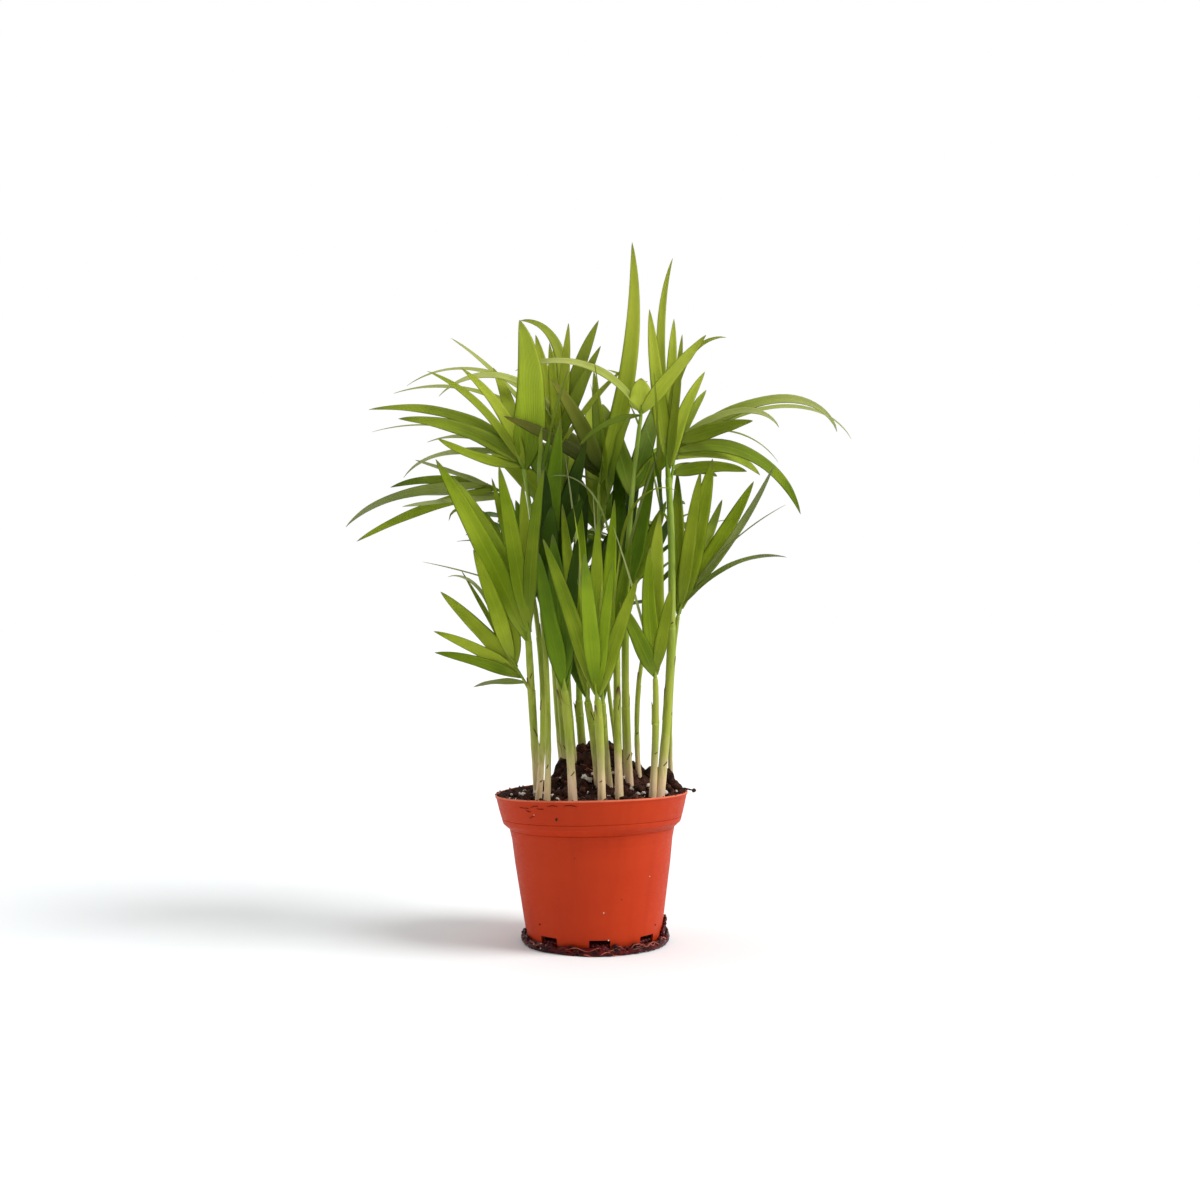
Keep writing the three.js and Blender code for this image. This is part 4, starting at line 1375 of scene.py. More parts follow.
@dataclass
class Pot:
    """The round nursery pot, with a stepped collar, a thin lip and notches in its foot."""

    outer: Rows = (
        (41.6, 4), (42.5, 10), (44, 20.7), (48.1, 50), (49.6, 64), (50.9, 70.4), (50.5, 70.9),
        (51.5, 71.5), (54.9, 74.6), (55.7, 77.5), (55.25, 77.8), (55.9, 78.1), (57.4, 84),
        (58.8, 90.4), (59.5, 91.2), (59.5, 92.6))
    hollow: Rows = ((57.1, 90.4), (55.7, 84), (53.6, 74.8), (49.9, 70.9), (46.9, 50), (42.8, 20.7))
    floor: float = 1.5
    floor_radius: float = 40.4
    lip: float = 0.9
    corner: float = 0.45
    out_of_round: float = 0.0022
    highlight_from: float = 91.75  # the height in a level lip from which its edge takes a painted highlight
    sides: int = 192
    notches: int = 8
    notch: tuple[float, float, float] = (6.0, 12.5, 5.0)  # depth, width and height
    first_notch: float = 4.9  # degrees from the front to the right

    def build(self) -> None:
        """Turns the wall up outside, over the lip and down inside, and cuts the notches."""
        radius, height = self.outer[-1]
        floor = POT_BASE + self.floor
        profile = [(AT_AXIS, POT_BASE), *self.outer, (radius - self.lip, height), *self.hollow,
                   (self.floor_radius, floor), (AT_AXIS, floor)]
        shell = Shell()
        rings = lathe(rounded(profile, self.corner), self.sides)
        angle = np.arctan2(rings[..., 1], rings[..., 0])
        rise = ((rings[..., 2:] - POT_BASE) / RIM_Z) ** 2
        wave = np.sin(2 * angle + 0.7) + 0.5 * np.sin(3 * angle)
        rings[..., :2] *= 1 + self.out_of_round * rise * wave[..., None]
        shell.tube(bend_pot(rings), 0)
        slots = [PotFinish("pot_plastic", (180, 51, 18), (187, 58, 22), 0.42).make()]
        pot = shell.piece("nursery_pot", slots)
        self.cut(pot)
        self.rim_painted_highlight(pot)
        pot.data.set_sharp_from_angle(angle=math.radians(38))
        seat(pot, ["pot"])

    @classmethod
    def notch_turn(cls, i: int) -> float:
        """Where a notch stands about Z, in radians from the right."""
        return math.radians(cls.first_notch - 90 + i * 360 / cls.notches)

    def cut(self, pot: bpy.types.Object) -> None:
        """Cuts a box out of the foot at each notch.

        Args:
            pot: The whole pot, whose mesh is replaced by the cut one.
        """
        depth, width, height = self.notch
        corners = np.array([(x, y, z) for x in (-0.5, 0.5) for y in (-0.5, 0.5) for z in (-0.5, 0.5)])
        sides = np.array([(0, 1, 3, 2), (4, 6, 7, 5), (0, 4, 5, 1), (2, 3, 7, 6), (0, 2, 6, 4),
                          (1, 5, 7, 3)])
        boxes = Shell()
        for i in range(self.notches):
            middle = (self.outer[0][0], 0, POT_BASE + (height - 1) / 2)
            box = turned(corners * (depth, width, height + 1) + middle, UP, self.notch_turn(i))
            boxes.add(box + (FOOT_SHIFT, 0, 0), sides, 0)
        cutter = boxes.piece("notch_cutter", [])
        cut = pot.modifiers.new("notches", "BOOLEAN")
        cut.object, cut.operation, cut.solver = cutter, "DIFFERENCE", "EXACT"
        graph = bpy.context.evaluated_depsgraph_get()
        mesh = bpy.data.meshes.new_from_object(pot.evaluated_get(graph))
        pot.modifiers.clear()
        pot.data = mesh
        bpy.data.objects.remove(cutter)

    def rim_painted_highlight(self, pot: bpy.types.Object) -> None:
        """Gives the lip's edge its own finish, whose paler colour is a painted highlight.

        Args:
            pot: The pot.
        """
        mesh = pot.data
        centres = np.empty(len(mesh.polygons) * 3)
        mesh.polygons.foreach_get("center", centres)
        x, y, z = centres.reshape(-1, 3).T / MM
        level = self.highlight_from + lip_rise(x, y)
        # The paler lip colour is a painted highlight where the edge would catch the light.
        mesh.materials.append(PotFinish("pot_lip", (196, 82, 52), (216, 120, 90), 0.4).make())
        mesh.polygons.foreach_set("material_index", (z > level).astype(np.int32))


def ball(rings: int = 5, sides: int = 7) -> Array:
    """A small closed ball for lumps, with rings from near the lower pole to near the upper one.

    Args:
        rings: How many rings it has.
        sides: The sides of each.

    Returns:
        The points, rings by sides by 3.
    """
    polar = np.linspace(0.3, math.pi - 0.3, rings)[:, None]
    return around(np.sin(polar), np.arange(sides) * FULL_TURN / sides, -np.cos(polar))


def lump(shell: Shell, place: Array, size: Array, finish: int, random: np.random.Generator,
         rough: float = 0.32) -> None:
    """Adds an uneven lump: a ball whose points go in and out at random, turned at random.

    Args:
        shell: The mesh under work.
        place: Its middle.
        size: Its three half sizes.
        finish: Its material slot.
        random: The source of its unevenness.
        rough: How far points go in and out.
    """
    base = ball()
    form = base * (1 + random.uniform(-rough, rough, base.shape[:2]))[..., None] * size
    axes, _ = np.linalg.qr(random.normal(size=(3, 3)))
    if np.linalg.det(axes) < 0:
        axes[:, 0] *= -1
    shell.tube(form @ axes.T + place, finish)


def grit(shell: Shell, place: Array, sizes: tuple[float, float], finish: int,
         random: np.random.Generator, uneven: tuple[float, float] = (0.7, 1.2)) -> None:
    """Adds a lump whose size is drawn between two, and its three sides then between two shares."""
    lump(shell, place, random.uniform(*sizes) * random.uniform(*uneven, 3), finish, random)


def strand(shell: Shell, points: Array, radius: float, finish: int, sides: int = 6) -> None:
    """Adds a thin strand, tapered at its ends.

    Args:
        shell: The mesh under work.
        points: The points that it runs through, n by 3.
        radius: Its radius.
        finish: Its material slot.
        sides: The sides of a ring.
    """
    ways = unit(np.gradient(points, axis=0))
    t = np.linspace(-1, 1, len(points))
    shell.tube(stalk_rings(points, ways, radius * (1 - 0.8 * t**8), sides), finish)


@dataclass
class Soil:
    """The heaped potting soil: a rough heap, clods, white perlite and fibres."""

    edge: float = 56.7
    rings: int = 84
    sides: int = 220
    clods: int = 900
    perlite: int = 180
    fibres: int = 90
    grain: tuple[float, float, float] = (14, 6, 3)  # the sizes of the heap's unevenness
    underside: tuple[float, float] = (0.955, 77.0)  # its share of the edge's radius, its height
    bank: float = 3.3  # how high the soil is banked against the wall behind
    # Half sizes of clods and of perlite: the least, how much more, and how rare the large ones are.
    clod_sizes: tuple[float, float, float] = (0.6, 1.9, 2.2)
    perlite_sizes: tuple[float, float, float] = (0.35, 1.25, 1.6)
    barky: float = 0.3  # the share of clods that are bits of bark
    fibre_halves: tuple[float, float] = (1.5, 5.5)
    fibre_radii: tuple[float, float] = (0.12, 0.3)
    clod_reach: float = 54.5  # how far from the middle clods lie; the same for the two below
    fibre_reach: float = 51.0
    perlite_reach: float = 53.0
    # The large clods that stand out: x, y, half size, and how far they stand above the heap.
    large: Rows = (
        (-18, 12, 7.5, 3.5), (-12, 2, 7, 2.5), (-6, 20, 5, 2), (2, 24, 5, 2), (10, 20, 5.5, 2),
        (20, 20, 6, 2), (28, 14, 5.5, 2), (38, 10, 6, 3), (46, 6, 5.5, 3.5), (50, 0, 4.5, 3),
        (-24, 2, 6, 2.5), (-30, 12, 4, 1), (0, 4, 6.5, 2.5), (14, 4, 5, 2), (-38, -4, 3, 0.8),
        (29, -10, 5.5, 2.4), (8, -16, 5, 2), (-6, -12, 6, 2.4), (-20, -16, 4, 1.2), (24, 2, 5, 2))

    # The large white chips: x and y.
    chips: Rows = (
        (-20, -10), (-20, 15), (-5, -7), (-2, -11), (31, -14), (19, -8), (10, -25), (15, -27), (24, -19),
        (-35, -8), (-43, 6), (45, -13), (36, -21), (4, -6), (-24, -22), (29, 22), (12, 30), (-12, 36))

    def height(self, x: Array, y: Array) -> Array:
        """The rule's height with waves of clods and grain, which are less near the wall.

        Args:
            x: How far to the right.
            y: How far to the back.

        Returns:
            The height at each place.
        """
        at = np.stack([x, y], -1)
        coarse, middling, fine = self.grain
        rough = 1.5 * waves(at, coarse, 31) + 0.9 * waves(at, middling, 32, 14)
        rough = rough + 0.5 * waves(at, fine, 33, 20)
        wall = np.clip(1 - (self.edge - np.hypot(x - axis_shift(RIM_Z), y)) / 7, 0, 1)
        behind = np.clip(0.55 + 0.6 * y / self.edge - 0.35 * x / self.edge, 0, 1)
        bank = self.bank * behind * wall * wall * (3 - 2 * wall)
        return soil_height(x, y) - 0.6 + bank + rough * (1 - 0.7 * wall)

    def ground(self, shell: Shell) -> None:
        """Adds the heap: rings out to the wall, then down and in underneath.

        Args:
            shell: The mesh under work.
        """
        angle = np.arange(self.sides) * FULL_TURN / self.sides
        top = around(np.linspace(0.4, self.edge, self.rings)[:, None], angle, 0.0, axis_shift(RIM_Z))
        top[..., 2] = self.height(top[..., 0], top[..., 1])
        inwards, level = self.underside
        under = top[-1] * (inwards, inwards, 0) + (0, 0, level)
        middle = under * (0.02, 0.02, 1)
        shell.tube(np.concatenate([[middle, under], top[::-1]]), 0)

    def spot(self, random: np.random.Generator, reach: float) -> tuple[float, float, float]:
        """Picks a place on the heap.

        Args:
            random: The source of its choice.
            reach: How far from the middle it may be.

        Returns:
            The place.
        """
        angle, radius = random.uniform(0, FULL_TURN), reach * math.sqrt(random.uniform())
        x, y = radius * math.cos(angle) + axis_shift(RIM_Z), radius * math.sin(angle)
        return x, y, float(self.height(np.array([x]), np.array([y]))[0])

    @staticmethod
    def bit_size(random: np.random.Generator, sizes: Sequence[float], thinnest: float) -> Array:
        """Draws the three half sizes of a bit.

        Args:
            random: The source of the draws.
            sizes: The least size, how much more it may be, and how rare the large ones are.
            thinnest: The least share of the size that a side is drawn to.

        Returns:
            The three half sizes.
        """
        least, more, rare = sizes
        return (least + more * random.uniform() ** rare) * random.uniform(thinnest, 1.2, 3)

    def build(self) -> None:
        """Builds the heap as one piece, its clods and fibres as another, and its perlite."""
        random = np.random.default_rng(41)
        earth = Earth.PEAT.make()
        ground, bits, grains = Shell(), Shell(), Shell()
        self.ground(ground)
        seat(ground.piece("soil_heap", [earth]), ["soil"])
        for x, y, half, proud in self.large:
            z = float(soil_height(x, y)) + proud - half * 0.55
            lump(bits, np.array([x, y, z]), half * random.uniform(0.75, 1.15, 3), 0, random, 0.22)
        for _ in range(self.clods):
            place = np.array(self.spot(random, self.clod_reach))
            size = self.bit_size(random, self.clod_sizes, 0.6)
            lump(bits, place, size, int(random.uniform() < self.barky), random)
        for _ in range(self.fibres):
            x, y, z = self.spot(random, self.fibre_reach)
            way = random.uniform(0, FULL_TURN)
            t = np.linspace(-1, 1, 9)[:, None]
            long, bow = random.uniform(*self.fibre_halves), random.uniform(-1.5, 1.5)
            along = np.array([math.cos(way), math.sin(way), random.uniform(-0.3, 0.5)])
            side = np.array([-math.sin(way), math.cos(way), 0.3])
            points = np.array([x, y, z + 0.6]) + along * long * t + side * bow * t**2
            strand(bits, points, random.uniform(*self.fibre_radii), 2, 4)
        seat(bits.piece("soil_clods", [earth, Earth.BARK.make(), Earth.FIBRE.make()]))
        for x, y in self.chips:
            place = np.array([x, y, float(self.height(np.array(x), np.array(y))) + 1.6])
            grit(grains, place, (1.2, 2.1), 0, random, (0.7, 1.1))
        for _ in range(self.perlite):
            place = np.array(self.spot(random, self.perlite_reach)) + (0, 0, 0.35)
            lump(grains, place, self.bit_size(random, self.perlite_sizes, 0.7), 0, random)
        seat(grains.piece("perlite_grains", [Earth.PERLITE.make()]))


@dataclass
class RootMat:
    """The mat of roots that has grown out under the pot and a little way up its right side."""

    radius: float = 44.8
    strands: int = 84
    fine: int = 9
    grains: int = 26
    climbing_crumbs: int = 90
    climbing_roots: int = 12
    left_crumbs: int = 46
    left_radius: float = 43.6
    plug_radius: float = 39.2
    plugged: tuple[float, ...] = (-4.5, -1.5, 1.5, 4.5)  # places across a notch
    climb_turn: float = -0.05  # where the climbing clump stands, in radians from the right
    # White grains on the climbing clump: radians about Z from the right, and height.
    whites: Rows = (
        (-0.12, 12.5), (0.02, 8.5), (-0.2, 7.0), (0.1, 6.0), (-0.02, 14.5), (-0.3, 4.6), (-0.08, 10.4))

    def edge(self, angle: Array) -> Array:
        """The mat's radius, wider at the right, with seven ripples."""
        return self.radius + 0.9 * np.cos(angle) + 0.3 * np.sin(7 * angle)

    @staticmethod
    def wall(z: Array) -> Array:
        """A little more than the pot's radius at a height near its foot."""
        return 42.0 + 0.145 * z

    def body(self, shell: Shell) -> None:
        """Adds the mat: flat below, bulging at its edge, with a low lip against the pot's foot.

        Args:
            shell: The mesh under work.
        """
        profile = rounded([(AT_AXIS, 0), (43.4, 0), (self.radius, 1.8), (44.3, 3.9), (43.1, 4.9),
                           (42.4, 4.5), (42.15, 3.95), (AT_AXIS, 3.95)], 0.6)
        rings = lathe(profile, 260)
        angle = np.arctan2(rings[..., 1], rings[..., 0])
        outside = np.clip((np.hypot(rings[..., 0], rings[..., 1]) - 42.5) / 1.2, 0, 1)
        lifted = np.clip(rings[..., 2] / 1.5, 0, 1)
        bulge = 0.45 * waves(rings, 5.0, 51, 12) - 0.25
        wide = self.edge(angle) - self.radius + bulge * lifted
        rings[..., :2] *= (1 + outside * wide / self.radius)[..., None]
        rings[..., 2] += outside * lifted * 0.4 * waves(rings, 4.0, 52, 12)
        shell.tube(rings + (FOOT_SHIFT, 0, 0), 0)

    def root(self, shell: Shell, random: np.random.Generator, radius: float, finish: int) -> None:
        """Adds a root that winds along the mat's edge, in and out and up and down.

        Args:
            shell: The mesh under work.
            random: The source of its way.
            radius: Its radius.
            finish: Its material slot, 1 for the fine roots that lie outermost.
        """
        start, span = random.uniform(0, FULL_TURN), random.uniform(0.2, 0.95)
        angle = start + np.linspace(0, span, 26)
        t = np.linspace(0, 1, 26)[:, None]
        height = random.uniform(0.9, 4.6) + 1.3 * waves(t * 30, 15, int(random.integers(1e6)))
        height = np.clip(height, radius + 0.05, 5.8)
        over = 0.55 * np.sin(np.clip(height / 5.4, 0, 1) * math.pi) + 0.25
        reach = self.edge(angle) - 1.0 + over + 0.3 * waves(t * 30, 13, int(random.integers(1e6)))
        strand(shell, around(reach + 0.9 * finish, angle, height, FOOT_SHIFT), radius, finish)

    def climb(self, shell: Shell, random: np.random.Generator) -> None:
        """Adds the clump that climbs the pot's wall at the right: crumbs with roots over them.

        Args:
            shell: The mesh under work.
            random: The source of its places and sizes.
        """
        for _ in range(self.climbing_crumbs):
            angle = random.normal(self.climb_turn, 0.16)
            away = (angle - self.climb_turn) / 0.22
            z = 3.5 + 11.5 * random.uniform() ** 1.8 * math.exp(-(away**2))
            place = around(self.wall(z) - 0.2, angle, z, FOOT_SHIFT)
            grit(shell, place, (0.7, 1.5), 0, random)
        for _ in range(self.climbing_roots):
            angle, top = random.normal(self.climb_turn, 0.14), random.uniform(6, 16)
            t = np.linspace(0, 1, 18)
            z = 1.0 + (top - 1.0) * np.sin(t * math.pi * 0.5)
            wall = self.wall(z) + 0.5 * np.sin(t * math.pi)
            wander = angle + 0.02 * waves(t[:, None] * 12, 12, int(random.integers(1e6))) + 0.04 * t
            points = around(wall, wander, z, FOOT_SHIFT)
            strand(shell, points, random.uniform(0.35, 0.8), int(random.uniform() < 0.2))
        for angle, z in self.whites:
            place = around(self.wall(z) + 0.6, angle, z, FOOT_SHIFT)
            lump(shell, place, 0.55 * random.uniform(0.8, 1.2, 3), 2, random)

    def plugs(self, shell: Shell, random: np.random.Generator) -> None:
        """Adds the roots and peat that show dark in the pot's notches, and at the mat's left end.

        Args:
            shell: The mesh under work.
            random: The source of their places and sizes.
        """
        for i in range(Pot.notches):
            way = around(1.0, Pot.notch_turn(i), 0.0)
            for across in self.plugged:
                place = way * self.plug_radius + np.cross(UP, way) * across + (FOOT_SHIFT, 0, 5.0)
                lump(shell, place, np.full(3, 2.0), 0, random, 0.15)
        for _ in range(self.left_crumbs):
            angle, size = random.uniform(2.75, 3.6), random.uniform(0.5, 1.3)
            place = around(self.left_radius, angle, random.uniform(3.6, 5.4), FOOT_SHIFT)
            lump(shell, place, size * random.uniform(0.7, 1.3, 3), 0, random)

    def build(self) -> None:
        """Builds the mat, its roots and the grains caught in it."""
        random = np.random.default_rng(61)
        dark = Earth.MAT.make()
        mat, roots = Shell(), Shell()
        self.body(mat)
        seat(mat.piece("root_pad", [dark]), ["root_mat"])
        for _ in range(self.strands):
            self.root(roots, random, random.uniform(0.6, 1.35), 0)
        for _ in range(self.fine):
            self.root(roots, random, random.uniform(0.2, 0.36), 1)
        self.climb(roots, random)
        self.plugs(roots, random)
        for _ in range(self.grains):
            angle, z = random.uniform(0, FULL_TURN), random.uniform(0.8, 4.8)
            place = around(self.edge(angle) + 0.1, angle, z, FOOT_SHIFT)
            grit(roots, place, (0.25, 0.6), 2, random)
        slots = [dark, Earth.FINE_ROOT.make(), Earth.CAUGHT.make()]
        seat(roots.piece("roots", slots))


@dataclass
class Crumbs:
    """Crumbs of soil and perlite stuck to the pot's wall and lip, and a twig on its rim."""

    # Angle from the front to the right in degrees, height, half size, and 0 dark, 1 pale.
    stuck: Rows = (
        (-21, 81.5, 0.8, 0), (-36, 84.0, 0.35, 1), (8, 25.6, 0.45, 1), (12, 9.0, 0.5, 1), (46, 45.0, 0.35, 1),
        (-12, 58.0, 0.3, 0), (22, 33.0, 0.3, 0), (60, 14.0, 0.5, 0), (-48, 16.0, 0.5, 0), (140, 40.0, 0.5, 0),
        (200, 60.0, 0.4, 1), (250, 30.0, 0.45, 0), (170, 20.0, 0.5, 1))

    # Threads of root stuck to the wall: angle from the front to the right, height, span, slope.
    threads: Rows = (
        (-43, 87.8, 8, -1.4), (-40, 86.0, 4, -0.6), (-35, 88.9, 6, 0.5), (-31, 87.6, 5, -0.9),
        (-23, 89.4, 7, 0.3), (-38, 82.4, 4, 0.7), (-12, 89.6, 8, -0.3))
    thread_radius: float = 0.27

    # Heights on the pot's wall and its radius there.
    heights: tuple[float, ...] = (4, 20.7, 50, 64, 70.9, 74.6, 84, 90.4)
    radii: tuple[float, ...] = (41.6, 44, 48.1, 49.6, 51.1, 54.9, 57.4, 58.8)

    # Inside the lip behind, and on its edge: how many, at what radius or radii, and how high.
    behind: tuple[int, float, float] = (90, 57.3, 91.7)
    edge: tuple[int, tuple[float, float], float] = (60, (58.1, 59.2), 92.7)

    def wall(self, z: Number) -> Number:
        """The pot wall's radius at a height."""
        return np.interp(z, self.heights, self.radii)

    def build(self) -> None:
        """Builds the crumbs as one piece."""
        random = np.random.default_rng(71)
        shell = Shell()
        for turn, z, half, kind in self.stuck:
            place = around(self.wall(z) + half * 0.25, math.radians(turn - 90), z)
            lump(shell, bend_pot(place), half * random.uniform(0.8, 1.2, 3), kind, random)
        count, radius, z = self.behind
        for _ in range(count):
            place = around(radius, random.uniform(1.7, 3.5), z)
            grit(shell, bend_pot(place), (0.4, 1.3), 0, random)
        count, (near, far), z = self.edge
        for _ in range(count):
            angle = random.uniform(0, FULL_TURN)
            place = around(near if random.uniform() < 0.5 else far, angle, z)
            grit(shell, bend_pot(place), (0.2, 0.65), 0, random)
        for turn, z, span, slope in self.threads:
            t = np.linspace(-0.5, 0.5, 9)
            angle, height = np.radians(turn - 90 + span * t), z + slope * t + 0.3 * np.sin(t * 5 + z)
            points = around(self.wall(height) + 0.12, angle, height)
            strand(shell, bend_pot(points), self.thread_radius, 2, 5)
        t = np.linspace(0, 1, 14)
        twig = np.stack([54 + 8.4 * t, -5 + 2 * t, 94.6 - 0.6 * t + 0.4 * np.sin(t * 5)], -1)
        strand(shell, twig, 0.5, 0)
        lump(shell, twig[-1] + (0.4, 0, -0.3), np.array([1.5, 1.2, 1.2]), 0, random, 0.15)
        slots = [Earth.CRUMB.make(), Earth.PALE_CRUMB.make(), Earth.STUCK_ROOT.make()]
        seat(shell.piece("crumbs", slots))


# ---- Studio --------------------------------------------------------------------------------


@dataclass
class Studio:
    """The white floor, the soft lights and the camera."""

    eye: tuple[float, float, float] = (0.0048, -0.964, 0.211)  # where the camera stands, in metres
    lens: float = 46.65
    sensor: float = 36.0
    floor_half: float = 9.0  # metres
    floor_colour: tuple[float, float, float, float] = (0.85, 0.87, 0.875, 1)
    world: tuple[float, float] = (0.44, 0.84)  # the strength of the sky at the front and behind
    # Name, where it stands about Z from the right, how high and how wide in degrees, and power.
    suns: tuple[tuple[str, float, float, float, float], ...] = (
        ("key", -17.0, 43.0, 29.0, 2.8), ("side", 170.0, 24.0, 50.0, 0.4))

    def sun(self, name: str, turn: float, height: float, wide: float, power: float) -> None:
        """Adds a wide, far light.

        Args:
            name: The light's name.
            turn: Where it stands, in degrees about Z from the right.
            height: How high it stands, in degrees.
            wide: How wide it looks, in degrees.
            power: Its strength.
        """
        data = bpy.data.lights.new(name, "SUN")
        data.angle, data.energy = math.radians(wide), power
        put(name, data).rotation_euler = (math.radians(90 - height), 0.0, math.radians(turn + 90))

    def floor(self) -> None:
        """Lays the floor, a square."""
        far = self.floor_half
        mesh = bpy.data.meshes.new("floor")
        mesh.from_pydata([(-far, -far, 0), (far, -far, 0), (far, far, 0), (-far, far, 0)], [], [(0, 1, 2, 3)])
        s = Shader("white_floor")
        mesh.materials.append(s.dress(Base_Color=self.floor_colour, Roughness=0.9))
        put("floor", mesh)

    def sky(self) -> None:
        """Lights the scene softly from all round, most from behind, and shows white behind it."""
        world = bpy.data.worlds.new("studio")
        world.use_nodes = True
        s = Nodes(world.node_tree)
        even, shown = s.tree.nodes["Background"], s.tree.nodes["World Output"]
        where = s.node("ShaderNodeTexCoord").outputs["Generated"]
        split = s.node("ShaderNodeSeparateXYZ", {0: where})
        ranges = dict(zip(RANGE, (-0.8, 0.8, *self.world)))
        fade = s.node("ShaderNodeMapRange", {"Value": split.outputs[1], **ranges})
        white = (1.0, 1.0, 1.0, 1.0)
        s.link(white, even.inputs["Color"])
        s.link(fade.outputs["Result"], even.inputs["Strength"])
        seen = s.node("ShaderNodeBackground", {"Color": white})
        camera = s.node("ShaderNodeLightPath").outputs["Is Camera Ray"]
        mix = s.node("ShaderNodeMixShader", {0: camera, 1: even.outputs[0], 2: seen.outputs[0]})
        s.link(mix.outputs[0], shown.inputs["Surface"])
        bpy.context.scene.world = world

    def build(self) -> None:
        """Sets up the floor, the lights and the camera."""
        self.floor()
        self.sky()
        for sun in self.suns:
            self.sun(*sun)
        data = bpy.data.cameras.new("camera")
        data.lens, data.sensor_width = self.lens, self.sensor
        camera = put("camera", data)
        camera.location = self.eye
        camera.rotation_euler = (math.pi / 2, 0.0, 0.0)
        bpy.context.scene.camera = camera
        bpy.context.scene.view_settings.view_transform = "Standard"


# ---- The tables ----------------------------------------------------------------------------

STEMS = (
    Stem("stem_01", (-33.2, -5), (-36.6, -15, 148), (-38.4, -24, 187), (2.5, 2.1)),
    Stem("stem_02", (-32.8, -30), (-32.2, -10, 183), (-52.3, 5, 276), (1.9, 1.2)),
    Stem("stem_03", (-27, -38), (-28.8, -20, 187), (-42.8, 0, 294), (1.9, 1.2)),
    Stem("stem_04", (-11, -42), (-13.5, -38, 127), (-16.5, -35, 157), (2.6, 2.3)),
    Stem("stem_05", (6.0, -45), (5, -46, 125), (3.4, -46, 152), (2.3, 2.2)),
    Stem("stem_06", (-6, 25), (-7.4, 20, 130), (-8.4, 16, 148), (2.6, 2.3)),
    Stem("stem_07", (-17.9, 22), (-25.2, 20, 208), (-21.5, 15, 302), (2.6, 1.3)),
    Stem("stem_08", (-15.8, 14), (-20.1, 13, 154), (-20.4, 5, 186), (2.5, 2)),
    Stem("stem_09", (4.2, -10), (0.8, -18, 129), (-2.8, -27, 150), (2.7, 2.2)),
    Stem("stem_10", (11, -15), (7.8, -22, 126), (6.6, -32, 149), (2.2, 1.8)),
    Stem("stem_11", (16.6, -32), (15.2, -20, 150), (15.4, -8, 205), (2.4, 2)),
    Stem("stem_12", (22.6, -5), (21, -8, 217), (30, -15, 325), (2.7, 1.2)),
    Stem("stem_13", (16.2, 18), (6, 15, 201), (4.4, 5, 284), (1.3, 1)),
    Stem("stem_14", (29.3, 5), (28.1, 5, 146), (33.5, 0, 186), (1.7, 1.2)),
    Stem("stem_15", (36, -28), (38.2, -28, 130), (38.1, -28, 164), (2.2, 1.7)),
    Stem("stem_16", (40.2, -25), (48.4, -12, 190), (47.1, 0, 288), (2.8, 2)),
    Stem("stem_17", (49.4, 8), (48.8, 3, 149), (53.3, 0, 202), (1.5, 1.2)),
    Stem("stem_18", (-10.8, 8), (-13.4, 4, 132), (-15.2, -4, 168), (2.1, 1.7)),
)

